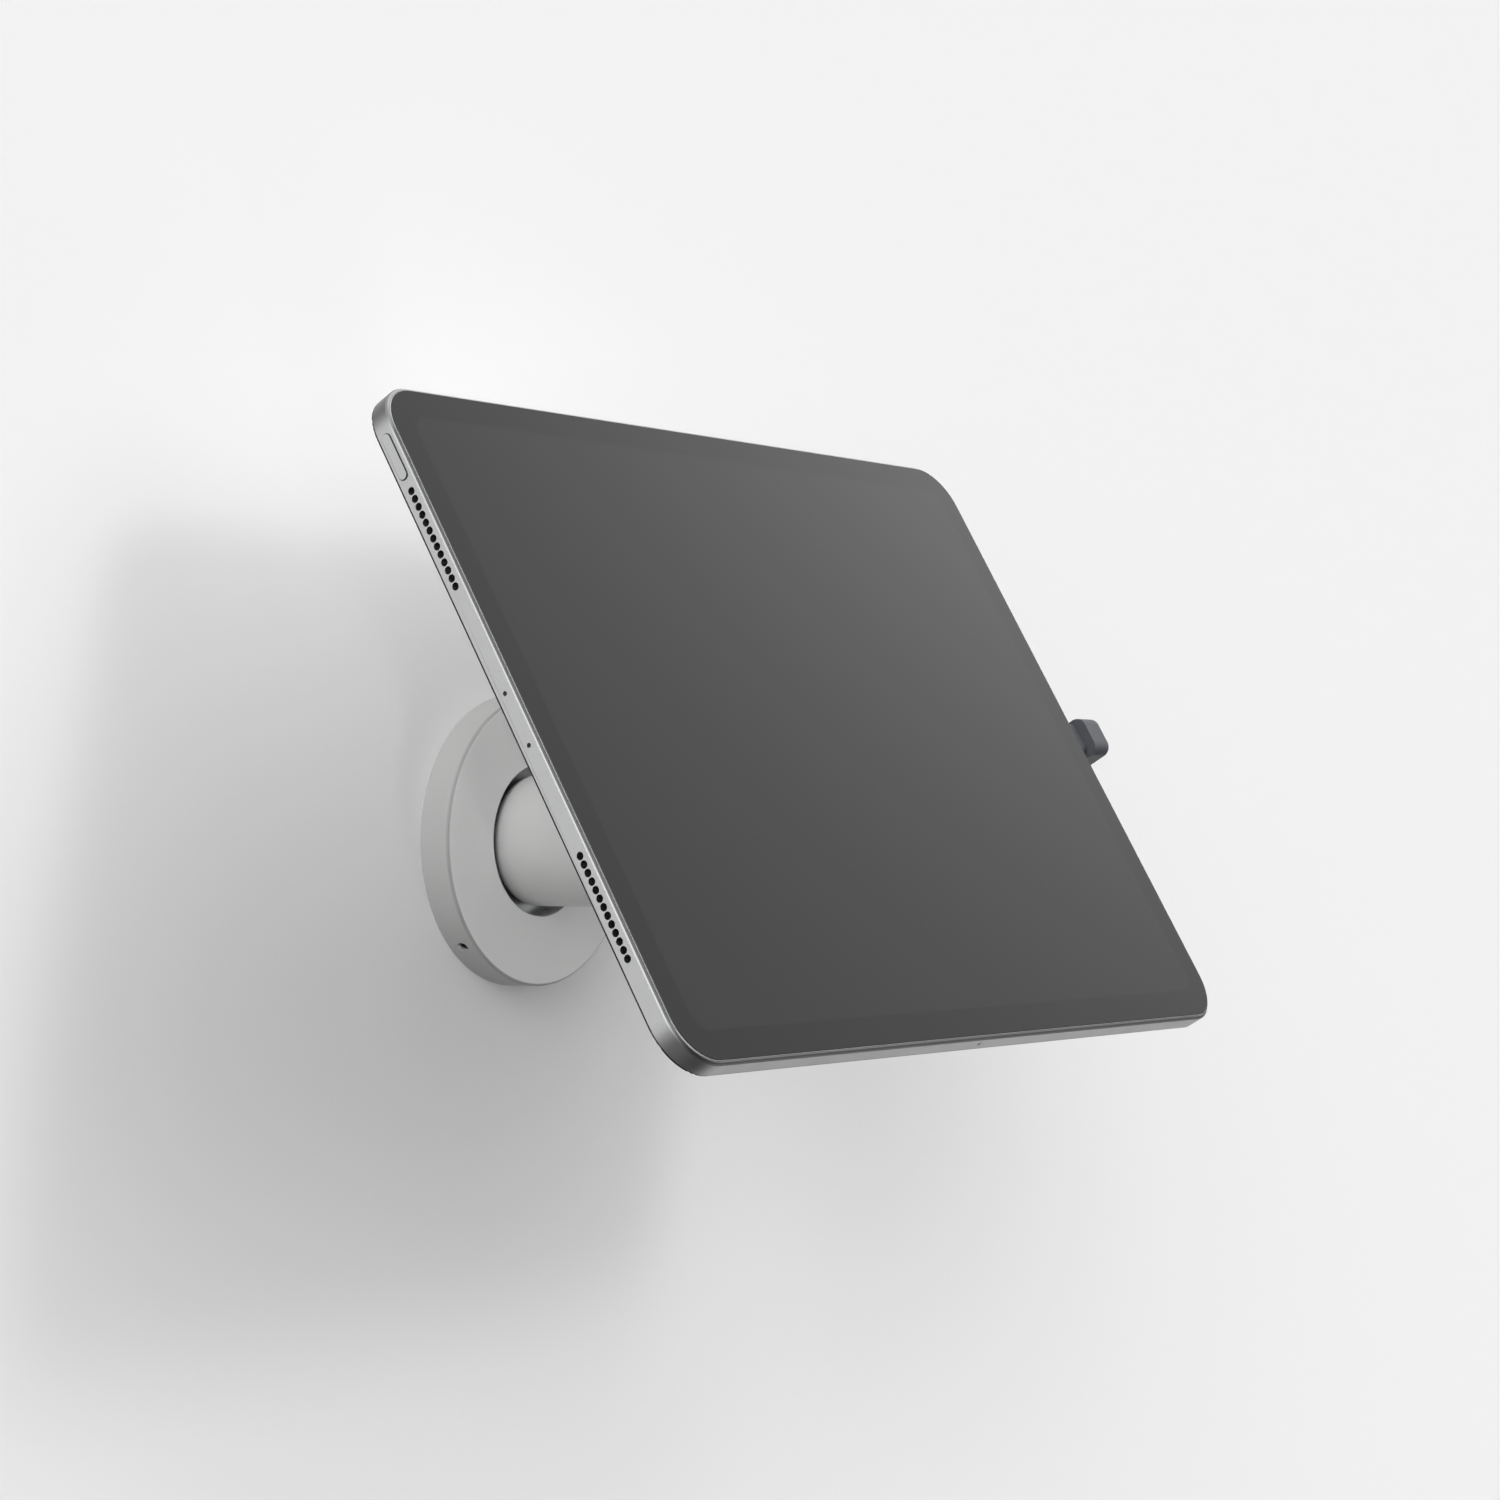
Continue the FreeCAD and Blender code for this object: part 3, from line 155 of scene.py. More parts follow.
class Shader(Graph):
    """A material under construction, with short calls for the nodes that the finishes share."""

    def __init__(self, name: str) -> None:
        """Start a material with a principled surface.

        Args:
            name: Name of the material.
        """
        self.material = bpy.data.materials.new(name)
        self.material.use_nodes = True
        super().__init__(self.material.node_tree)
        self.surface = self.tree.nodes["Principled BSDF"]

    def paint(self, **inputs: object) -> None:
        """Feed inputs of the surface.

        Args:
            inputs: Values or source sockets by input name, in lower case with underscores.
        """
        names = {s.name.lower().replace(" ", "_").replace(".", ""): s for s in self.surface.inputs}
        for key, value in inputs.items():
            self.feed(names[key], value)

    def place_mm(self) -> Socket:
        """Place on the piece at rest, in millimetres."""
        return self.vector("SCALE", self.add("ShaderNodeTexCoord").outputs["Object"], 1 / MM)

    def vector(self, operation: str, *values: object) -> Socket:
        """Do one vector operation.

        Args:
            operation: Blender's name of the operation.
            values: Sockets or vectors, with a number as the second value for a scale.

        Returns:
            Socket with the vector.
        """
        keys = (0, "Scale") if operation == "SCALE" else range(len(values))
        node = self.add("ShaderNodeVectorMath", dict(zip(keys, values)), operation=operation)
        return node.outputs["Vector"]

    def length(self, vector: Socket) -> Socket:
        """Length of a vector."""
        return self.add("ShaderNodeVectorMath", {0: vector}, operation="LENGTH").outputs["Value"]

    def normal(self) -> Socket:
        """Direction of the surface at rest."""
        return self.add("ShaderNodeTexCoord").outputs["Normal"]

    def along(self, place: Socket, direction: Vector, origin: Vector = HEAD_FRAME.origin) -> Socket:
        """Distance of a place along a unit direction, in millimetres, from an origin in metres."""
        dot = self.add("ShaderNodeVectorMath", {0: place, 1: direction}, operation="DOT_PRODUCT")
        return self.number("SUBTRACT", dot.outputs["Value"], origin.dot(direction) / MM)

    def noise(self, place: Socket, size_mm: float, detail: float = 2.0,
              stretch: Number3 = (1.0, 1.0, 1.0)) -> Socket:
        """Soft random value over the surface.

        Args:
            place: Socket with the place, in millimetres.
            size_mm: Size of the largest blotches.
            detail: How many finer layers are added.
            stretch: Factors on the three axes, below 1 to draw the noise out.

        Returns:
            Socket from 0 to 1, mostly near 0.5.
        """
        drawn = self.vector("MULTIPLY", place, stretch)
        inputs = {"Vector": drawn, "Scale": 1 / size_mm, "Detail": detail}
        return self.add("ShaderNodeTexNoise", inputs).outputs["Fac"]

    def fit(self, value: Socket, low: float, high: float, to_low: float = 0.0, to_high: float = 1.0,
            smooth: bool = False) -> Socket:
        """Map a value from one range to another, held at the ends.

        Args:
            value: Socket to map.
            low: Value that maps to to_low.
            high: Value that maps to to_high.
            to_low: Result at low.
            to_high: Result at high.
            smooth: Whether the change is eased at both ends.

        Returns:
            Socket with the mapped value.
        """
        kind = "SMOOTHSTEP" if smooth else "LINEAR"
        inputs = {"Value": value, "From Min": low, "From Max": high,
                  "To Min": to_low, "To Max": to_high}
        return self.add("ShaderNodeMapRange", inputs, interpolation_type=kind).outputs["Result"]

    def cloud(self, place: Socket, size_mm: float, detail: float, low: float = 0.0,
              high: float = 1.0) -> Socket:
        """Noise of the given size and detail, drawn out to run from low to high."""
        return self.fit(self.noise(place, size_mm, detail), *NOISE_SPAN, low, high)

    def mix(self, share: Socket, first: object, second: object) -> Socket:
        """Blend two colours.

        Args:
            share: Socket from 0 to 1.
            first: Colour or socket at 0.
            second: Colour or socket at 1.

        Returns:
            Socket with the colour.
        """
        node = self.add("ShaderNodeMix", {"Factor": share}, data_type="RGBA")
        colours = [s for s in node.inputs if s.type == "RGBA"]
        self.feed(colours[0], first)
        self.feed(colours[1], second)
        return next(s for s in node.outputs if s.type == "RGBA")

    def blend(self, share: Socket, first: object, second: object) -> Socket:
        """Blend two numbers by a share from 0 to 1."""
        kept = self.number("MULTIPLY", self.number("SUBTRACT", 1.0, share), first)
        return self.number("MULTIPLY_ADD", share, second, kept)

    def shades(self, share: Socket, colour: Number3, low: float, high: float) -> Socket:
        """Colour times a factor that runs from low to high with a share from 0 to 1."""
        return self.mix(share, rgba(colour, low), rgba(colour, high))

    def bump(self, height: Socket, depth_mm: float, strength: float = 1.0,
             under: Optional[Socket] = None) -> Socket:
        """Surface direction disturbed by a height.

        Args:
            height: Socket with the height from 0 to 1.
            depth_mm: Real depth of a height of 1.
            strength: How much of the effect is used.
            under: Direction from a coarser bump below this one.

        Returns:
            Socket for a Normal input.
        """
        inputs = {"Height": height, "Distance": depth_mm * MM, "Strength": strength}
        if under is not None:
            inputs["Normal"] = under
        return self.add("ShaderNodeBump", inputs).outputs["Normal"]


def rgba(colour: Number3, factor: float = 1.0) -> tuple[float, float, float, float]:
    """Colour times a factor, with full alpha."""
    return (colour[0] * factor, colour[1] * factor, colour[2] * factor, 1.0)


def around(middle: float, spread: float) -> Range:
    """Range that reaches a spread to each side of a middle."""
    return (middle - spread, middle + spread)


def short_side(s: Shader, place: Socket) -> Socket:
    """Share that is 1 along the straight part of the tablet's short sides and 0 past its ends."""
    up = s.number("ABSOLUTE", s.along(place, HEAD_FRAME.up))
    return s.fit(up, SHORT_SIDE_HALF_MM, SHORT_SIDE_HALF_MM + SHORT_SIDE_FADE_MM, 1.0, 0.0)


@dataclass(frozen=True)
class SatinCoat:
    """Fine pale coat on turned aluminium, matte with a soft orange peel.

    A turn is 1 where the surface faces out of the wall and 0 on the rim. The shares are factors on
    the colour that paint shade away from the front and on the rounded edge.
    """

    name: str = "satin_coat"
    colour: Number3 = (0.54, 0.54, 0.537)
    tone_mm: float = 22.0
    tone_span: Range = (0.35, 0.65)
    tones: Range = (0.985, 1.015)
    roughness: float = 0.48
    roughness_spread: float = 0.04
    smear_mm: float = 6.0
    peel_mm: float = 1.1
    peel_depth_mm: float = 0.012
    grain_mm: float = 0.16
    grain_depth_mm: float = 0.004
    gloss: float = 0.42
    # Painted shade: the colour darkens from the front towards the rim, down to the side's share.
    front_turns: Range = (0.88, 0.99)
    side_shade_share: float = 1.0
    # Painted shade on the rounded edge, where the surface turns halfway between front and rim.
    edge_turn: float = 0.5
    edge_shade_reach: Range = (0.3, 0.45)
    edge_shade_share: float = 1.0

    def build(self) -> Material:
        """Make the material.

        Returns:
            The finish.
        """
        s = Shader(self.name)
        place = s.place_mm()
        tone = s.fit(s.noise(place, self.tone_mm, detail=3.0), *self.tone_span)
        grain = s.noise(place, self.grain_mm)
        rough = s.cloud(place, self.smear_mm, 4.0, *around(self.roughness, self.roughness_spread))
        peel = s.bump(s.noise(place, self.peel_mm, detail=1.0), self.peel_depth_mm, strength=0.5)
        turn = s.number("ABSOLUTE", s.along(s.normal(), Vector((0, 1, 0)), Vector()))
        # Painted shade on the rim, which faces away from the front.
        front = s.fit(turn, *self.front_turns, self.side_shade_share, 1.0)
        # Painted shade on the rounded edge between the front and the rim.
        off_edge = s.number("ABSOLUTE", s.number("SUBTRACT", turn, self.edge_turn))
        edge = s.fit(off_edge, *self.edge_shade_reach, self.edge_shade_share, 1.0)
        colour = s.shades(tone, self.colour, *self.tones)
        s.paint(
            base_color=s.vector("SCALE", colour, s.number("MULTIPLY", front, edge)),
            roughness=rough,
            normal=s.bump(grain, self.grain_depth_mm, strength=0.45, under=peel),
            specular_ior_level=self.gloss,
        )
        return s.material


@dataclass(frozen=True)
class BlastedAluminium:
    """Bead blasted, anodised aluminium, with a polished band where the edge was cut bright.

    Places ending in from_mm and to_mm are distances from the tilt pivot along the glass's normal.
    Shares are factors on the colour; the lip's, back edge's, corners', level sides' and button
    gap's are painted shade. Turns are shares of facing along the tablet or up it.
    """

    name: str = "blasted_aluminium"
    colour: Number3 = (0.535, 0.537, 0.54)
    tones: Range = (0.95, 1.05)
    roughness: float = 0.34
    roughness_spread: float = 0.025
    smear_mm: float = 9.0
    grain_mm: float = 0.11
    grain_depth_mm: float = 0.003
    fade_mm: float = 0.04
    bright_from_mm: float = 56.36
    bright_to_mm: float = 56.66
    bright_share: float = 0.58
    bright_roughness: float = 0.34
    # Painted shade in a band inside the cut, darker on the short sides and left off the upper half
    # of the long sides.
    lip_mm: float = 0.4
    lip_share: float = 0.4
    side_lip_shade_share: float = 0.15
    # Painted shade on the back edge's rounding, standing in for its reflection of the shaded wall.
    back_shade_from_mm: float = 51.42
    back_shade_to_mm: float = 52.0
    back_share: float = 0.06
    # Painted shade at the rounded corners, where the surface faces both along and up the tablet.
    corner_shade_turns: Range = (0.03, 0.45)
    corner_shade_share: float = 0.27
    upper_half_fade_mm: float = 20.0
    # Painted shade on the top and bottom sides, which face up and down the tablet.
    level_turns: Range = (0.55, 1.0)
    level_shade_share: float = 0.56
    button_up_mm: float = 70.4
    button_out_mm: float = 54.1
    button_length_mm: float = 12.34
    button_width_mm: float = 2.64
    button_side_mm: Range = (-123.0, -122.9)
    # Painted shade in a thin line round the power button's gap.
    button_shade_mm: float = 0.22
    button_shade_fade_mm: float = 0.05
    button_shade_share: float = 0.3

    def build(self) -> Material:
        """Make the material.

        Returns:
            The finish.
        """
        s = Shader(self.name)
        place = s.place_mm()
        out = s.along(place, HEAD_FRAME.out)
        cut = self.band(s, out, self.bright_from_mm, self.bright_to_mm)
        # Painted shade in the band inside the cut.
        lip = self.band(s, out, self.bright_to_mm, self.bright_to_mm + self.lip_mm)
        # Painted shade and painted reflection on the back edge.
        back = self.band(s, out, self.back_shade_from_mm, self.back_shade_to_mm)
        speckle = s.noise(place, self.grain_mm, detail=3.0)
        matt = s.cloud(place, self.smear_mm, 4.0, *around(self.roughness, self.roughness_spread))
        tint = s.shades(s.fit(speckle, *NOISE_SPAN), self.colour, *self.tones)
        across, up = self.facing(s)
        # Painted shade at the corners.
        corner = s.fit(s.number("MULTIPLY", across, up), *self.corner_shade_turns, smooth=True)
        side = short_side(s, place)
        height = s.along(place, HEAD_FRAME.up)
        upper = s.fit(height, 0.0, self.upper_half_fade_mm)
        # Where the band's and the corners' painted shade is left off: the upper half of the long
        # sides.
        shade_spared = s.number("MULTIPLY", upper, s.number("SUBTRACT", 1.0, side))
        lip = s.blend(shade_spared, lip, 0.0)
        cut_start = self.bright_from_mm - self.fade_mm
        past_cut = s.fit(out, cut_start, self.bright_from_mm)
        corner = s.blend(s.number("MULTIPLY", shade_spared, past_cut), corner, 0.0)
        # Painted shade on the blasted top and bottom sides.
        blasted = s.fit(out, cut_start, self.bright_from_mm, 1.0, 0.0)
        level = s.number("MULTIPLY", blasted, s.fit(up, *self.level_turns, smooth=True))
        # Painted shade round the power button.
        line = self.button_line(s, place, out)
        # The band's painted shade is darker on the short sides.
        lip_share = s.blend(side, self.lip_share, self.side_lip_shade_share)
        # Each band scales the colour by its share; all but the cut band are painted shade.
        shaded = ((cut, self.bright_share), (lip, lip_share), (back, self.back_share),
                  (corner, self.corner_shade_share), (level, self.level_shade_share),
                  (line, self.button_shade_share))
        for band, share in shaded:
            tint = s.mix(band, tint, s.vector("SCALE", tint, share))
        s.paint(
            base_color=tint,
            metallic=1.0,
            roughness=s.blend(cut, matt, self.bright_roughness),
            normal=s.bump(speckle, self.grain_depth_mm, strength=0.35),
        )
        return s.material

    def band(self, s: Shader, out: Socket, low: float, high: float) -> Socket:
        """Pick out a band between two distances along the glass's normal.

        Args:
            s: The material under construction.
            out: Socket with the distance along the glass's normal.
            low: Where the band starts.
            high: Where the band ends.

        Returns:
            Socket that is 1 in the band and 0 away from it.
        """
        off = s.number("ABSOLUTE", s.number("SUBTRACT", out, (low + high) / 2))
        reach = (high - low) / 2
        return s.fit(off, reach, reach + self.fade_mm, 1.0, 0.0)

    def button_line(self, s: Shader, place: Socket, out: Socket) -> Socket:
        """Share from 0 to 1 that is 1 on the painted shade round the power button's gap, on the
        left side.

        Args:
            s: The material under construction.
            place: Socket with the place, in millimetres.
            out: Socket with the distance along the glass's normal.

        Returns:
            Socket with the share.
        """
        up = s.number("SUBTRACT", s.along(place, HEAD_FRAME.up), self.button_up_mm)
        straight = (self.button_length_mm - self.button_width_mm) / 2
        past = s.number("MAXIMUM", s.number("SUBTRACT", s.number("ABSOLUTE", up), straight), 0.0)
        beside = s.number("SUBTRACT", out, self.button_out_mm)
        flat = s.add("ShaderNodeCombineXYZ", {"X": past, "Y": beside}).outputs["Vector"]
        off = s.number("ABSOLUTE", s.number("SUBTRACT", s.length(flat), self.button_width_mm / 2))
        reach = self.button_shade_mm / 2
        near = s.fit(off, reach, reach + self.button_shade_fade_mm, 1.0, 0.0)
        along = s.along(place, HEAD_FRAME.across)
        left = s.fit(along, *self.button_side_mm, 1.0, 0.0)
        return s.number("MULTIPLY", near, left)

    def facing(self, s: Shader) -> list[Socket]:
        """Two shares from 0 to 1: how far the surface faces along the tablet, and up it."""
        normal = s.normal()
        return [s.number("ABSOLUTE", s.along(normal, direction, Vector()))
                for direction in (HEAD_FRAME.across, HEAD_FRAME.up)]


@dataclass(frozen=True)
class CoverGlass:
    """Black backed cover glass; the lit area under it is a little paler than its border.

    The face's colours fade in between two depths below the front. Deeper down is the edge's tint,
    with painted shade on the short sides.
    """

    name: str = "cover_glass"
    border: Number3 = (0.0022, 0.0022, 0.0024)
    panel: Number3 = (0.0078, 0.0079, 0.0082)
    panel_width_mm: float = 230.4
    panel_height_mm: float = 161.6
    panel_corner_mm: float = 5.0
    edge_mm: float = 0.12
    roughness: float = 0.035
    smear_mm: float = 55.0
    smear_span: Range = (0.4, 0.7)
    smear_roughness: float = 0.02
    bend: float = 1.5
    front_depths_mm: Range = (0.16, 0.12)
    edge_tint: Number3 = (0.62, 0.625, 0.63)
    # Painted shade: the glass edge is darker on the short sides.
    shaded_side_edge_tint: Number3 = (0.3, 0.303, 0.306)

    def build(self) -> Material:
        """Make the material.

        Returns:
            The finish.
        """
        s = Shader(self.name)
        place = s.place_mm()
        across = s.along(place, HEAD_FRAME.across)
        up = s.along(place, HEAD_FRAME.up)
        flat = s.add("ShaderNodeCombineXYZ", {"X": across, "Y": up}).outputs["Vector"]
        corner = self.panel_corner_mm
        inner = (self.panel_width_mm / 2 - corner, self.panel_height_mm / 2 - corner, 0.0)
        beyond = s.vector("SUBTRACT", s.vector("ABSOLUTE", flat), inner)
        past = s.vector("MAXIMUM", beyond, (0, 0, 0))
        outside = s.fit(s.length(past), *around(corner, self.edge_mm), smooth=True)
        depth = s.along(place, HEAD_FRAME.out)
        low, high = (GLASS_FRONT_MM - under for under in self.front_depths_mm)
        face = s.fit(depth, low, high)
        smear = s.fit(s.noise(place, self.smear_mm, detail=3.0), *self.smear_span)
        colour = s.mix(outside, rgba(self.panel), rgba(self.border))
        # Edge tint with painted shade on the short sides.
        edge = s.mix(short_side(s, place), rgba(self.edge_tint), rgba(self.shaded_side_edge_tint))
        s.paint(
            base_color=s.mix(face, edge, colour),
            roughness=s.fit(smear, 0.0, 1.0, self.roughness, self.roughness + self.smear_roughness),
            ior=self.bend,
        )
        return s.material


@dataclass(frozen=True)
class MachinedSteel:
    """Plated or blackened steel with the fine rings or lines of its cutting tool."""

    name: str
    colour: Number3
    roughness: float = 0.32
    stretch: Number3 = (1.0, 1.0, 1.0)
    line_mm: float = 0.12
    line_span: Range = (0.25, 0.75)
    line_depth_mm: float = 0.004
    polish: float = 0.06
    dulling: float = 0.08
    wear: float = 0.08
    wear_mm: float = 4.0

    def build(self) -> Material:
        """Make the material.

        Returns:
            The finish.
        """
        s = Shader(self.name)
        place = s.place_mm()
        lines = s.noise(place, self.line_mm, detail=3.0, stretch=self.stretch)
        worn = s.cloud(place, self.wear_mm, 4.0)
        low, high = self.roughness - self.polish, self.roughness + self.dulling
        s.paint(
            base_color=s.shades(worn, self.colour, 1.0 - self.wear, 1.0 + self.wear),
            metallic=1.0,
            roughness=s.fit(lines, *self.line_span, low, high),
            normal=s.bump(lines, self.line_depth_mm, strength=0.4),
        )
        return s.material


@dataclass(frozen=True)
class MouldedPlastic:
    """Moulded plastic with a fine spark-eroded grain."""

    name: str
    colour: Number3
    tones: Range = (0.94, 1.06)
    flow_mm: float = 5.0
    roughness: float = 0.5
    roughness_spread: float = 0.05
    grain_mm: float = 0.14
    depth_mm: float = 0.006
    gloss: float = 0.5

    def build(self) -> Material:
        """Make the material.

        Returns:
            The finish.
        """
        s = Shader(self.name)
        place = s.place_mm()
        grain = s.noise(place, self.grain_mm, detail=3.0)
        flow = s.cloud(place, self.flow_mm, 3.0)
        s.paint(
            base_color=s.shades(flow, self.colour, *self.tones),
            roughness=s.fit(grain, *NOISE_SPAN, *around(self.roughness, self.roughness_spread)),
            normal=s.bump(grain, self.depth_mm, strength=0.5),
            specular_ior_level=self.gloss,
        )
        return s.material


@dataclass(frozen=True)
class SoftJacket:
    """Soft rubbery jacket with a faint bloom and fine drag lines along the lead."""

    name: str = "soft_jacket"
    colour: Number3 = (0.042, 0.043, 0.047)
    bloom_mm: float = 3.0
    bloom_tones: Range = (0.88, 1.15)
    roughness: float = 0.62
    roughness_spread: float = 0.06
    drag_mm: float = 0.2
    drag_stretch: Number3 = (0.08, 1.0, 1.0)
    drag_depth_mm: float = 0.006
    sheen: float = 0.08
    sheen_roughness: float = 0.5

    def build(self) -> Material:
        """Make the material.

        Returns:
            The finish.
        """
        s = Shader(self.name)
        place = s.place_mm()
        drag = s.noise(place, self.drag_mm, stretch=self.drag_stretch)
        bloom = s.cloud(place, self.bloom_mm, 4.0)
        s.paint(
            base_color=s.shades(bloom, self.colour, *self.bloom_tones),
            roughness=s.fit(bloom, 0.0, 1.0, *around(self.roughness, self.roughness_spread)),
            normal=s.bump(drag, self.drag_depth_mm, strength=0.5),
            sheen_weight=self.sheen,
            sheen_roughness=self.sheen_roughness,
        )
        return s.material


@dataclass(frozen=True)
class AdhesiveFoam:
    """Closed-cell foam with small pores."""

    name: str = "adhesive_foam"
    colour: Number3 = (0.03, 0.03, 0.032)
    tones: Range = (0.7, 1.3)
    roughness: float = 0.85
    gloss: float = 0.3
    pore_mm: float = 0.22
    pore_span: Range = (0.0, 0.6)
    pore_depth_mm: float = 0.05

    def build(self) -> Material:
        """Make the material.

        Returns:
            The finish.
        """
        s = Shader(self.name)
        place = s.place_mm()
        pattern = s.add("ShaderNodeTexVoronoi", {"Vector": place, "Scale": 1 / self.pore_mm})
        pores = pattern.outputs["Distance"]
        s.paint(
            base_color=s.shades(s.fit(pores, *self.pore_span), self.colour, *self.tones),
            roughness=self.roughness,
            normal=s.bump(pores, self.pore_depth_mm, strength=0.6),
            specular_ior_level=self.gloss,
        )
        return s.material


@dataclass(frozen=True)
class AcousticMesh:
    """Black woven mesh behind the speaker holes."""

    name: str = "acoustic_mesh"
    colour: Number3 = (0.004, 0.004, 0.0044)
    tones: Range = (0.4, 1.8)
    roughness: float = 0.6
    pitch_mm: float = 0.16
    depth_mm: float = 0.03

    def build(self) -> Material:
        """Make the material.

        Returns:
            The finish.
        """
        s = Shader(self.name)
        place = s.place_mm()
        turns = 2 * math.pi / self.pitch_mm
        waves = []
        for direction in (HEAD_FRAME.up, HEAD_FRAME.out):
            distance = s.along(place, direction)
            waves.append(s.number("SINE", s.number("MULTIPLY", distance, turns)))
        weave = s.fit(s.number("MULTIPLY", *waves), -1.0, 1.0)
        s.paint(
            base_color=s.shades(weave, self.colour, *self.tones),
            roughness=self.roughness,
            normal=s.bump(weave, self.depth_mm, strength=0.6),
        )
        return s.material


@dataclass(frozen=True)
class CellFoil:
    """Foil pouch of a battery cell, softly wrinkled."""

    name: str = "cell_foil"
    colour: Number3 = (0.09, 0.09, 0.1)
    tones: Range = (0.8, 1.2)
    roughness: float = 0.38
    wrinkle_mm: float = 7.0
    wrinkle_stretch: Number3 = (1.0, 0.35, 1.0)
    wrinkle_depth_mm: float = 0.3

    def build(self) -> Material:
        """Make the material.

        Returns:
            The finish.
        """
        s = Shader(self.name)
        place = s.place_mm()
        wrinkle = s.noise(place, self.wrinkle_mm, detail=4.0, stretch=self.wrinkle_stretch)
        s.paint(
            base_color=s.shades(wrinkle, self.colour, *self.tones),
            roughness=self.roughness,
            normal=s.bump(wrinkle, self.wrinkle_depth_mm, strength=0.5),
        )
        return s.material


@dataclass(frozen=True)
class LacqueredBoard:
    """Green lacquered circuit board with a pattern of tracks and pads."""

    name: str = "lacquered_board"
    colour: Number3 = (0.02, 0.075, 0.04)
    track: Number3 = (0.06, 0.16, 0.07)
    roughness: float = 0.3
    tracks_per_mm: float = 0.55
    track_fold: float = 0.18
    track_span: Range = (0.06, 0.1)
    track_depth_mm: float = 0.03

    def build(self) -> Material:
        """Make the material.

        Returns:
            The finish.
        """
        s = Shader(self.name)
        place = s.place_mm()
        cells = s.add("ShaderNodeTexVoronoi", {"Vector": place, "Scale": self.tracks_per_mm},
                      distance="MANHATTAN")
        folded = s.number("PINGPONG", cells.outputs["Distance"], self.track_fold)
        lines = s.fit(folded, *self.track_span)
        s.paint(
            base_color=s.mix(lines, rgba(self.colour), rgba(self.track)),
            roughness=self.roughness,
            normal=s.bump(lines, self.track_depth_mm, strength=0.5),
        )
        return s.material


@dataclass(frozen=True)
class RingedLens:
    """Pale moulded flash lens with fine rings round its middle."""

    name: str = "ringed_lens"
    colour: Number3 = (0.78, 0.74, 0.6)
    tones: Range = (0.75, 1.1)
    roughness: float = 0.18
    coat: float = 0.6
    coat_roughness: float = 0.05
    across_mm: float = -91.0
    ring_mm: float = 0.32
    ring_depth_mm: float = 0.25

    def build(self) -> Material:
        """Make the material.

        Returns:
            The finish.
        """
        s = Shader(self.name)
        place = s.place_mm()
        centre = HEAD_FRAME.point(self.across_mm, BACK_ROW_UP_MM, TABLET_BACK_MM)
        radius = s.length(s.vector("SUBTRACT", place, centre / MM))
        saw = s.number("PINGPONG", radius, self.ring_mm)
        s.paint(
            base_color=s.shades(s.fit(saw, 0.0, self.ring_mm), self.colour, *self.tones),
            roughness=self.roughness,
            normal=s.bump(saw, self.ring_depth_mm, strength=0.6),
            coat_weight=self.coat,
            coat_roughness=self.coat_roughness,
        )
        return s.material


@dataclass(frozen=True)
class LensGlass:
    """Coated glass with a faint bloom, clear or nearly black."""

    name: str
    colour: Number3
    tones: Range = (0.9, 1.1)
    bloom_mm: float = 2.5
    roughness: float = 0.02
    bloom_roughness: float = 0.015
    transmission: float = 0.0
    bend: float = 1.5

    def build(self) -> Material:
        """Make the material.

        Returns:
            The finish.
        """
        s = Shader(self.name)
        bloom = s.cloud(s.place_mm(), self.bloom_mm, 2.0)
        s.paint(
            base_color=s.shades(bloom, self.colour, *self.tones),
            roughness=s.fit(bloom, 0.0, 1.0, self.roughness, self.roughness + self.bloom_roughness),
            transmission_weight=self.transmission,
            ior=self.bend,
        )
        return s.material


class FinishShelf:
    """All finishes of the object, each made once."""

    def __init__(self) -> None:
        """Make the materials."""
        self.coat = SatinCoat().build()
        # The cover's coat takes painted shade on its rim and on its rounded edge.
        self.cover_coat = SatinCoat("cover_coat", (0.84, 0.84, 0.836), side_shade_share=0.48,
                                    edge_shade_share=0.8).build()
        self.aluminium = BlastedAluminium().build()
        self.glass = CoverGlass().build()
        self.zinc = MachinedSteel("zinc_plate", (0.52, 0.53, 0.54), roughness=0.36,
                                  stretch=(1.0, 1.0, 0.2), line_mm=0.2).build()
        self.turned = MachinedSteel("turned_steel", (0.5, 0.5, 0.51), roughness=0.28,
                                    stretch=(0.15, 1.0, 1.0)).build()
        self.blackened = MachinedSteel("blackened_steel", (0.07, 0.07, 0.075), roughness=0.42,
                                       wear=0.2).build()
        self.drawn = MachinedSteel("drawn_steel", (0.55, 0.55, 0.56), roughness=0.24,
                                   stretch=(0.1, 1.0, 1.0), line_mm=0.08).build()
        self.nylon = MouldedPlastic("friction_plastic", (0.72, 0.72, 0.69), roughness=0.45,
                                    gloss=0.45).build()
        self.black = MouldedPlastic("moulded_black", (0.014, 0.014, 0.015), roughness=0.52).build()
        self.plug = MouldedPlastic("plug_plastic", (0.062, 0.066, 0.075), grain_mm=0.2,
                                   depth_mm=0.008, gloss=0.42).build()
        self.jacket = SoftJacket().build()
        self.foam = AdhesiveFoam().build()
        self.mesh = AcousticMesh().build()
        self.foil = CellFoil().build()
        self.board = LacqueredBoard().build()
        self.panel = MouldedPlastic("display_stack", (0.012, 0.012, 0.014), roughness=0.2,
                                    grain_mm=0.5, depth_mm=0.002).build()
        self.flash = RingedLens().build()
        self.window = LensGlass("camera_window_glass", (0.95, 0.97, 1.0), roughness=0.0,
                                transmission=1.0).build()
        self.lens = LensGlass("lens_element_glass", (0.008, 0.009, 0.02)).build()
        self.sensor = LensGlass("sensor_window_glass", (0.001, 0.001, 0.002)).build()


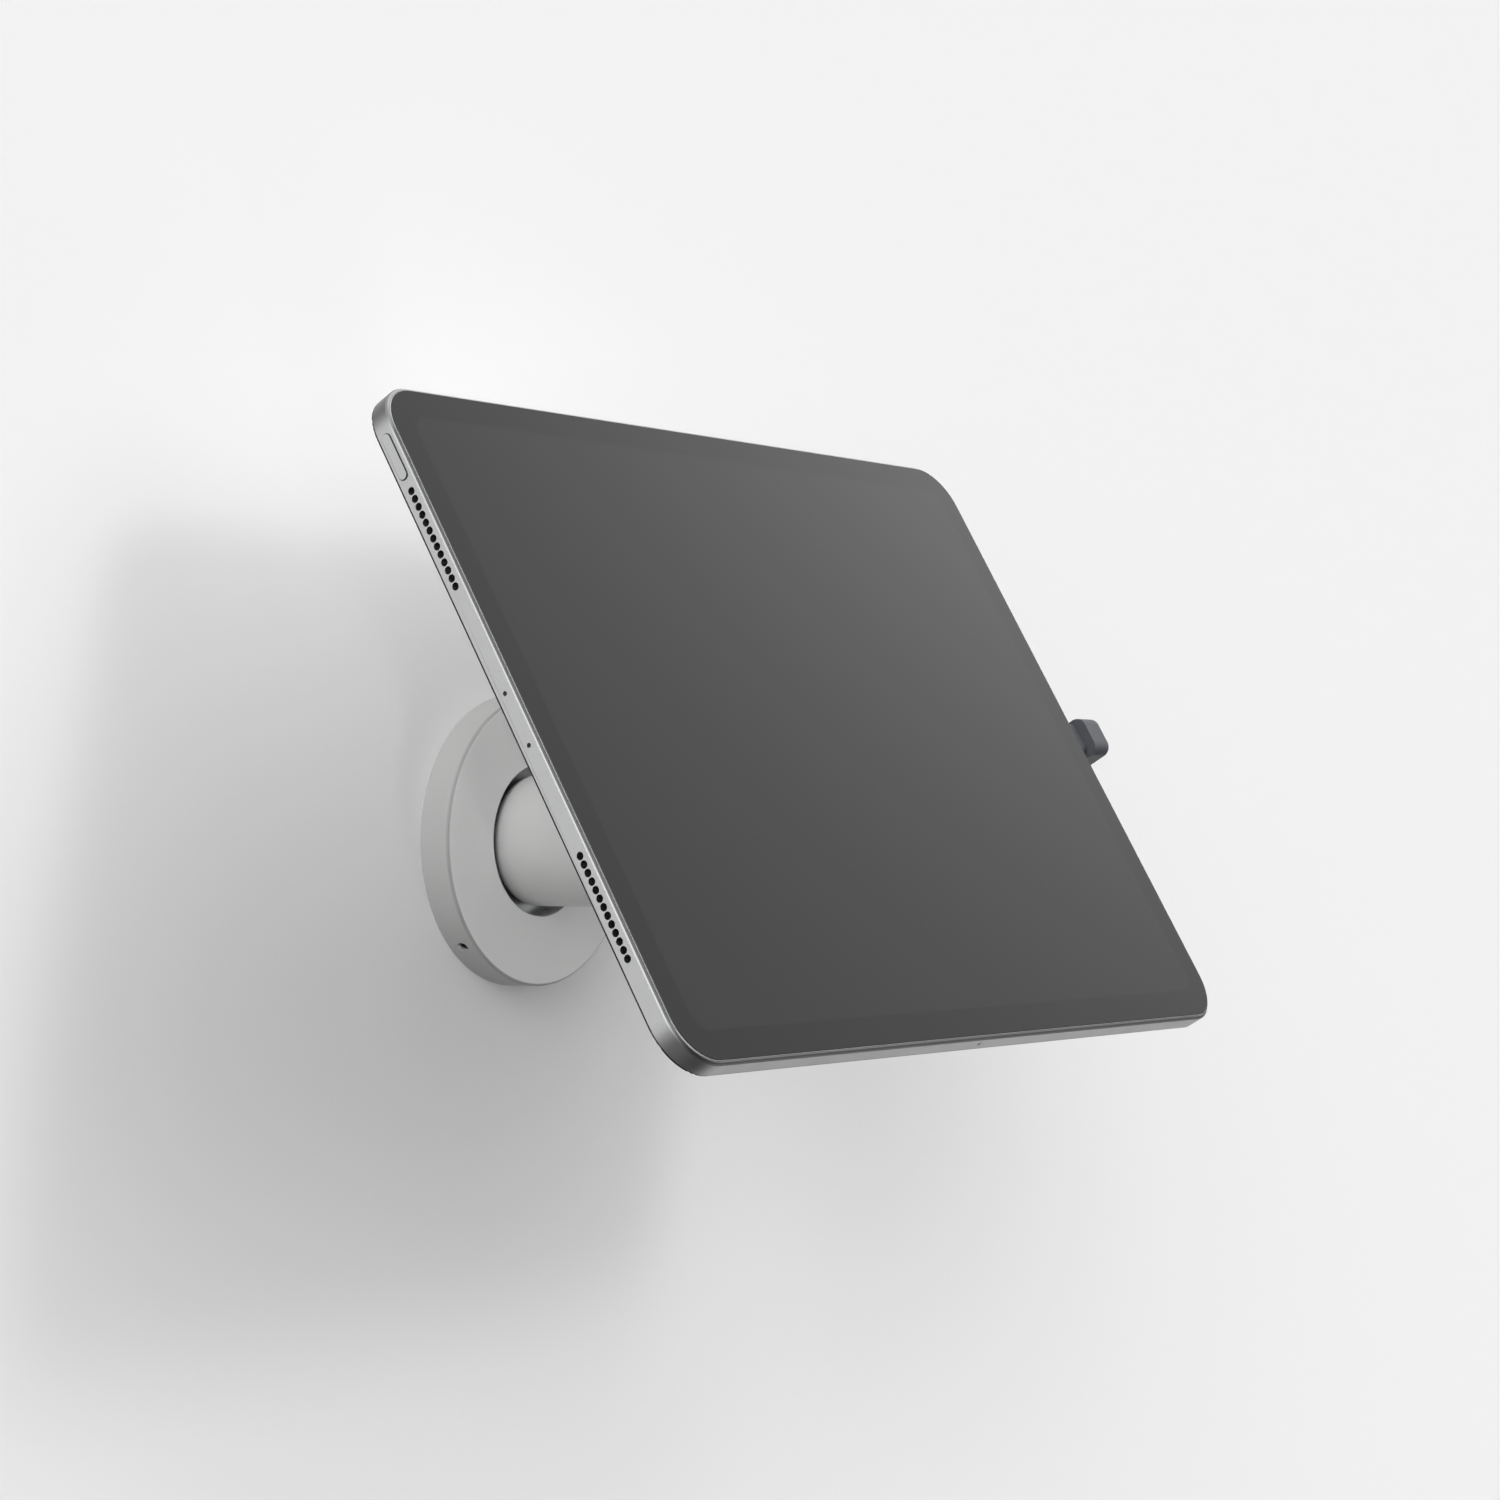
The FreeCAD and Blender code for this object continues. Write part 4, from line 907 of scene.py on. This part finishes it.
def put_in_scene(name: str, data: bpy.types.ID) -> bpy.types.Object:
    """Make an object of a mesh, a lamp or a camera and link it to the scene.

    Args:
        name: Name of the object.
        data: What the object shows.

    Returns:
        The new object.
    """
    made = bpy.data.objects.new(name, data)
    bpy.context.scene.collection.objects.link(made)
    return made


def dress(material: Material, *nodes: str) -> None:
    """Give CAD nodes a finish in their material slots.

    Args:
        material: The finish.
        nodes: Names of the nodes.
    """
    for name in nodes:
        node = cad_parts[name]
        for place in node.material_slots:
            place.material = material
        LOG.info("dressed %s in %s", name, material.name)


@dataclass
class Lathe:
    """Maker of round pieces from a profile turned about its own z."""

    segments: int = 96
    sharp_angle: float = math.radians(32)

    def mesh(self, name: str, profile: Profile) -> bpy.types.Mesh:
        """Turn a closed profile into a mesh.

        Args:
            name: Name of the mesh.
            profile: (radius, height) corners in millimetres, in order round the section.

        Returns:
            A closed mesh in metres.
        """
        made = bmesh.new()
        rings = []
        for radius, height in profile:
            if radius == 0:
                rings.append([made.verts.new((0, 0, height * MM))])
                continue
            angles = (2 * math.pi * i / self.segments for i in range(self.segments))
            reach, level = radius * MM, height * MM
            places = ((reach * math.cos(a), reach * math.sin(a), level) for a in angles)
            rings.append([made.verts.new(place) for place in places])
        for lower, upper in zip(rings, rings[1:] + rings[:1]):
            self.bridge(made, lower, upper)
        bmesh.ops.recalc_face_normals(made, faces=made.faces)
        mesh = bpy.data.meshes.new(name)
        made.to_mesh(mesh)
        made.free()
        mesh.shade_smooth()
        mesh.set_sharp_from_angle(angle=self.sharp_angle)
        return mesh

    def bridge(self, made: bmesh.types.BMesh, lower: list, upper: list) -> None:
        """Join two rings of points with faces.

        Args:
            made: The mesh under construction.
            lower: Points of the first ring, or one point.
            upper: Points of the second ring, or one point.
        """
        count = max(len(lower), len(upper))
        if count == 1:
            return
        for i in range(count):
            j = (i + 1) % count
            below = [lower[i % len(lower)], lower[j % len(lower)]]
            above = [upper[j % len(upper)], upper[i % len(upper)]]
            unique = list(dict.fromkeys(below + above))
            if len(unique) > 2:
                made.faces.new(unique)


@dataclass
class Fitter:
    """Turns new round pieces and puts them in place on a body."""

    body: Body
    lathe: Lathe = field(default_factory=Lathe)

    def fit(self, name: str, profile: Profile, matrix: Matrix, slot: Slot, material: Material,
            replaces: Iterable[str] = ()) -> None:
        """Add one piece.

        Args:
            name: Name of the piece.
            profile: (radius, height) corners of its section, in millimetres.
            matrix: Where it goes, which is written into the mesh.
            slot: Not used.
            material: Its finish.
            replaces: CAD nodes that it stands for.
        """
        mesh = self.lathe.mesh(name, profile)
        mesh.transform(matrix)
        mesh.materials.append(material)
        piece = put_in_scene(name, mesh)
        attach(piece, self.body.value)
        names = list(replaces)
        if names:
            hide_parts(*names)
        LOG.info("built %s on %s, %d faces", name, self.body.value, len(mesh.polygons))


@dataclass
class WallBase:
    """Round cover, wall plate and their small parts."""

    finishes: FinishShelf

    def build(self) -> None:
        """Dress the base's nodes."""
        dress(self.finishes.cover_coat, "base_cover")
        dress(self.finishes.zinc, "wall_plate")
        dress(self.finishes.blackened, "base_set_screw")
        dress(self.finishes.nylon, "swivel_washer")


@dataclass
class Neck:
    """Neck with the swivel's retainer and the tilt pivot's hardware."""

    finishes: FinishShelf

    def build(self) -> None:
        """Dress the neck's nodes."""
        dress(self.finishes.coat, "neck")
        dress(self.finishes.zinc, "swivel_retainer", "spring_washers", "retainer_screws")
        dress(self.finishes.turned, "pivot_nut", "tilt_stop_pin")
        dress(self.finishes.blackened, "pivot_bolt")
        dress(self.finishes.nylon, "friction_washers")
        dress(self.finishes.black, "pivot_caps")


@dataclass
class TiltHead:
    """Head on the tilt pivot, with the turntable's fixed side."""

    finishes: FinishShelf

    def build(self) -> None:
        """Dress the head's nodes."""
        dress(self.finishes.coat, "head")
        dress(self.finishes.turned, "turn_stop_pin")
        dress(self.finishes.zinc, "turn_ring", "turn_screws")
        dress(self.finishes.nylon, "slip_washer")


@dataclass
class Carrier:
    """Turning plate with its pad, plug and lead."""

    finishes: FinishShelf

    def build(self) -> None:
        """Dress the carrier's nodes."""
        dress(self.finishes.coat, "carrier_plate")
        dress(self.finishes.foam, "adhesive_pad")
        dress(self.finishes.plug, "plug_body")
        dress(self.finishes.drawn, "plug_shell")
        dress(self.finishes.jacket, "power_lead", "strain_relief")
        dress(self.finishes.black, "lead_gland")


@dataclass
class Tablet:
    """Tablet on the carrier plate.

    Out distances are from the tilt pivot along the glass's normal. The barrel's steps are pairs of
    a radius and a drop below its rim.
    """

    finishes: FinishShelf
    fitter: Fitter
    camera_across_mm: float = -106.5
    camera_proud_mm: float = 1.2
    window_drop_mm: float = 0.2
    window_radius_mm: float = 6.0
    window_thickness_mm: float = 0.3
    window_gap_mm: float = 0.02
    barrel_depth_mm: float = 1.0
    barrel_steps_mm: Profile = ((5.2, 0.0), (4.7, 0.14), (4.3, 0.14), (4.0, 0.3), (3.5, 0.3),
                                (3.3, 0.42))
    lens_radius_mm: float = 3.2
    lens_rise_mm: float = 0.34
    lens_rings: int = 10
    sensor_across_mm: float = -119.6
    sensor_up_mm: float = 6.56
    sensor_radius_mm: float = 0.36
    sensor_proud_mm: float = 0.02
    sensor_flat_share: float = 0.8
    sensor_wall_share: float = 0.6
    mic_across_mm: float = -96.2
    mic_radius_mm: float = 0.45
    mic_flat_share: float = 0.7
    mic_depth_mm: float = 0.3
    mic_wall_mm: float = 0.01
    mic_proud_mm: float = 0.012
    side_mic_radius_mm: float = 0.56
    side_mic_depths_mm: Range = (0.5, 0.16)
    side_mic_up_mm: float = 6.75
    side_mic_out_mm: float = 54.3
    half_width_mm: float = 123.8
    half_height_mm: float = 89.25

    def build(self) -> None:
        """Dress the tablet's nodes and add its lenses and sensor windows."""
        f = self.finishes
        dress(f.aluminium, "tablet_housing", "power_button", "volume_up_button",
              "volume_down_button", "rear_camera_ring")
        dress(f.glass, "display_glass")
        dress(f.panel, "display_panel")
        dress(f.foil, "battery_cells")
        dress(f.board, "main_board")
        dress(f.mesh, "speaker_meshes")
        dress(f.black, "button_switches")
        dress(f.drawn, "charge_port")
        dress(f.flash, "flash_lens")
        self.build_camera()
        self.build_sensor()
        self.build_rear_mic()
        self.build_side_mics()

    def back_matrix(self, across_mm: float) -> Matrix:
        """Transform for a piece in the row on the tablet's back, with its own z away from it."""
        place = HEAD_FRAME.matrix(across_mm, BACK_ROW_UP_MM, TABLET_BACK_MM)
        return place @ Matrix.Rotation(math.pi, 4, "X")

    def build_camera(self) -> None:
        """Add the rear camera's window, its stepped barrel and the domed lens inside it."""
        top = self.camera_proud_mm - self.window_drop_mm
        radius, floor = self.window_radius_mm, top - self.barrel_depth_mm
        under = top - self.window_thickness_mm
        place = self.back_matrix(self.camera_across_mm)
        window = [(0, under), (radius, under), (radius, top), (0, top)]
        self.fitter.fit("rear_camera_window", window, place, Slot.LENS, self.finishes.window,
                        ["rear_camera_glass"])
        rim = under - self.window_gap_mm
        steps = [(step, rim - drop) for step, drop in self.barrel_steps_mm]
        low = steps[-1][1]
        barrel = [(0, floor), (radius, floor), (radius, rim), *steps, (0, low)]
        self.fitter.fit("rear_camera_barrel", barrel, place, Slot.LENS, self.finishes.black)
        turns = (math.pi / 2 * i / self.lens_rings for i in range(self.lens_rings))
        arc = [(self.lens_radius_mm * math.cos(t), low + self.lens_rise_mm * math.sin(t))
               for t in turns]
        dome = [(0, low), *arc, (0, low + self.lens_rise_mm)]
        self.fitter.fit("rear_camera_lens", dome, place, Slot.LENS, self.finishes.lens)

    def build_sensor(self) -> None:
        """Add the light sensor's tiny window in the glass border."""
        proud, radius = self.sensor_proud_mm, self.sensor_radius_mm
        profile = [(0, -proud), (radius, -proud), (radius, proud * self.sensor_wall_share),
                   (radius * self.sensor_flat_share, proud), (0, proud)]
        place = HEAD_FRAME.matrix(self.sensor_across_mm, self.sensor_up_mm, GLASS_FRONT_MM)
        self.fitter.fit("light_sensor_window", profile, place, Slot.SCREEN, self.finishes.sensor)

    def build_rear_mic(self) -> None:
        """Add the microphone port between the rear camera and the flash."""
        radius, depth, proud = self.mic_radius_mm, self.mic_depth_mm, self.mic_proud_mm
        profile = [(0, -depth), (radius, -depth), (radius, self.mic_wall_mm),
                   (radius * self.mic_flat_share, proud), (0, proud)]
        place = self.back_matrix(self.mic_across_mm)
        self.fitter.fit("rear_mic_port", profile, place, Slot.MESH, self.finishes.mesh)

    def build_side_mics(self) -> None:
        """Add the dark screens inside the microphone holes of the left and lower sides."""
        radius, up, out = self.side_mic_radius_mm, self.side_mic_up_mm, self.side_mic_out_mm
        to_left = Matrix.Rotation(-math.pi / 2, 4, "Y")
        to_foot = Matrix.Rotation(math.pi / 2, 4, "X")
        places = {
            "upper_side_mic_mesh": HEAD_FRAME.matrix(-self.half_width_mm, up, out) @ to_left,
            "lower_side_mic_mesh": HEAD_FRAME.matrix(-self.half_width_mm, -up, out) @ to_left,
            "foot_mic_mesh": HEAD_FRAME.matrix(0, -self.half_height_mm, out) @ to_foot,
        }
        deep, shallow = self.side_mic_depths_mm
        profile = [(0, -deep), (radius, -deep), (radius, -shallow), (0, -shallow)]
        for name, place in places.items():
            self.fitter.fit(name, profile, place, Slot.MESH, self.finishes.mesh)


@dataclass
class PhotoCamera:
    """Camera at the photograph's place."""

    location: Vector = field(default_factory=lambda: Vector((-0.7368, -0.5895, 0.0012)))
    forward: Vector = field(default_factory=lambda: Vector((0.82077, 0.57077, 0.02409)))
    up: Vector = field(default_factory=lambda: Vector((-0.01682, -0.01800, 0.99972)))
    lens_mm: float = 84.4
    sensor_mm: float = 36.0
    clip_start: float = 0.01
    clip_end: float = 50.0

    def build(self) -> None:
        """Add the camera and make it the scene's own."""
        data = bpy.data.cameras.new("photo_camera")
        data.lens = self.lens_mm
        data.sensor_width = self.sensor_mm
        data.clip_start, data.clip_end = self.clip_start, self.clip_end
        camera = put_in_scene("photo_camera", data)
        ahead = self.forward.normalized()
        right = ahead.cross(self.up).normalized()
        above = right.cross(ahead)
        turn = Matrix((right, above, -ahead)).transposed().to_4x4()
        camera.matrix_world = Matrix.Translation(self.location) @ turn
        bpy.context.scene.camera = camera


@dataclass(frozen=True)
class SkyGlow:
    """One soft patch of the sky: brightest in its direction, falling off all round."""

    toward: Number3
    strength: float
    sharpness: float


@dataclass(frozen=True)
class FillLight:
    """One narrow, soft-edged lamp at source, aimed at target; power in watts, angle in radians."""

    name: str
    source: Number3
    target: Number3
    power: float
    angle: float
    radius: float = 0.06


@dataclass
class Studio:
    """Pale wall, soft light from several broad glows, one soft key light and two small fills."""

    wall_radius: float = 6.0
    wall_opening: float = 0.0386
    wall_segments: int = 96
    wall_gap: float = 0.0002
    wall_colour: Number3 = (0.885, 0.885, 0.885)
    wall_roughness: float = 0.9
    wall_gloss: float = 0.15
    wall_grain_mm: float = 1.4
    wall_grain_depth_mm: float = 0.01
    key_from: Vector = field(default_factory=lambda: Vector((0.44, -1.0, 0.52)))
    key_strength: float = 0.423
    key_angle: float = math.radians(12.0)
    fills: tuple[FillLight, ...] = (
        FillLight("left_fill", (-0.50, -0.209, 0.002), (-0.061, 0.0, 0.056), 2.79, 0.269),
        FillLight("low_fill", (0.30, -0.30, -0.45), (0.039, 0.0, -0.012), 5.29, 0.261),
    )
    sky_base: float = 0.067
    glows: tuple[SkyGlow, ...] = (
        SkyGlow((-0.828, -0.340, 0.445), 5.687, 12.25),
        SkyGlow((0.225, -0.468, 0.855), 2.807, 15.39),
        SkyGlow((0.582, -0.747, 0.322), 2.829, 17.90),
        SkyGlow((0.878, 0.069, 0.473), 2.076, 20.72),
        SkyGlow((-0.414, -0.795, 0.444), 0.540, 7.66),
        SkyGlow((-0.799, 0.053, 0.599), 0.445, 2.40),
        SkyGlow((0.820, -0.504, -0.268), 0.350, 14.00),
        SkyGlow((0.0, 0.0, 1.0), 0.079, 1.0),
    )

    def build(self) -> None:
        """Add the wall, the lights and the sky."""
        self.build_wall("studio_wall", self.wall_paint("wall_paint"))
        self.build_key()
        for fill in self.fills:
            self.build_fill(fill)
        self.build_sky()

    def build_wall(self, name: str, material: Material) -> None:
        """Add the flat wall, open behind the round base so that the base's back gets light.

        Args:
            name: Name of the wall's object.
            material: Its finish.
        """
        count = self.wall_segments
        turns = [2 * math.pi * i / count for i in range(count)]
        points = [(radius * math.cos(turn), self.wall_gap, radius * math.sin(turn))
                  for radius in (self.wall_opening, self.wall_radius) for turn in turns]
        faces = [(i, count + i, count + (i + 1) % count, (i + 1) % count) for i in range(count)]
        mesh = bpy.data.meshes.new(name)
        mesh.from_pydata(points, [], faces)
        mesh.materials.append(material)
        piece = put_in_scene(name, mesh)

    def wall_paint(self, name: str) -> Material:
        """Matte paint that is clear from behind, so that the object shows from every side.

        Args:
            name: Name of the material.

        Returns:
            The material.
        """
        s = Shader(name)
        grain = s.noise(s.place_mm(), self.wall_grain_mm, detail=3.0)
        s.paint(
            base_color=rgba(self.wall_colour),
            roughness=self.wall_roughness,
            specular_ior_level=self.wall_gloss,
            normal=s.bump(grain, self.wall_grain_depth_mm, strength=0.2),
        )
        behind = s.add("ShaderNodeNewGeometry").outputs["Backfacing"]
        clear = s.add("ShaderNodeBsdfTransparent").outputs["BSDF"]
        both = s.add("ShaderNodeMixShader", {0: behind, 1: s.surface.outputs["BSDF"], 2: clear})
        s.feed(s.tree.nodes["Material Output"].inputs["Surface"], both.outputs["Shader"])
        return s.material

    def build_key(self) -> None:
        """Add the soft key light."""
        data = bpy.data.lights.new("key_light", "SUN")
        data.energy = self.key_strength
        data.angle = self.key_angle
        lamp = put_in_scene("key_light", data)
        lamp.rotation_mode = "QUATERNION"
        lamp.rotation_quaternion = self.key_from.to_track_quat("Z", "Y")

    def build_fill(self, fill: FillLight) -> None:
        """Add one narrow fill light that reaches the base behind the tablet.

        Args:
            fill: Where it stands, what it is aimed at, and how strong and wide it is.
        """
        data = bpy.data.lights.new(fill.name, "SPOT")
        data.energy = fill.power
        data.spot_size = fill.angle
        data.spot_blend = 1.0
        data.shadow_soft_size = fill.radius
        lamp = put_in_scene(fill.name, data)
        lamp.location = fill.source
        lamp.rotation_mode = "QUATERNION"
        backward = Vector(fill.source) - Vector(fill.target)
        lamp.rotation_quaternion = backward.to_track_quat("Z", "Y")

    def build_sky(self) -> None:
        """Light from broad glows all round, with a white background behind."""
        world = bpy.data.worlds.new("studio_sky")
        bpy.context.scene.world = world
        world.use_nodes = True
        sky = Graph(world.node_tree)
        background = sky.tree.nodes["Background"]
        sky.feed(background.inputs["Color"], rgba(WHITE))
        coords = sky.add("ShaderNodeTexCoord").outputs["Generated"]
        total: object = self.sky_base
        for glow in self.glows:
            facing = sky.add("ShaderNodeVectorMath", {0: coords, 1: glow.toward},
                             operation="DOT_PRODUCT")
            ahead = sky.number("MAXIMUM", facing.outputs["Value"], 0.0)
            spread = sky.number("POWER", ahead, glow.sharpness)
            total = sky.number("MULTIPLY_ADD", spread, glow.strength, total)
        seen = sky.add("ShaderNodeLightPath").outputs["Is Camera Ray"]
        sky.feed(background.inputs["Strength"], sky.number("MAXIMUM", total, seen))


def main() -> None:
    """Build the scene in order."""
    logging.basicConfig(level=logging.INFO, format="%(message)s")
    bpy.context.scene.view_settings.view_transform = "Standard"
    PhotoCamera().build()
    finishes = FinishShelf()
    for assembly in (WallBase(finishes), Neck(finishes), TiltHead(finishes), Carrier(finishes),
                     Tablet(finishes, Fitter(Body.CARRIER))):
        assembly.build()
    Studio().build()


if __name__ == "__main__":
    main()
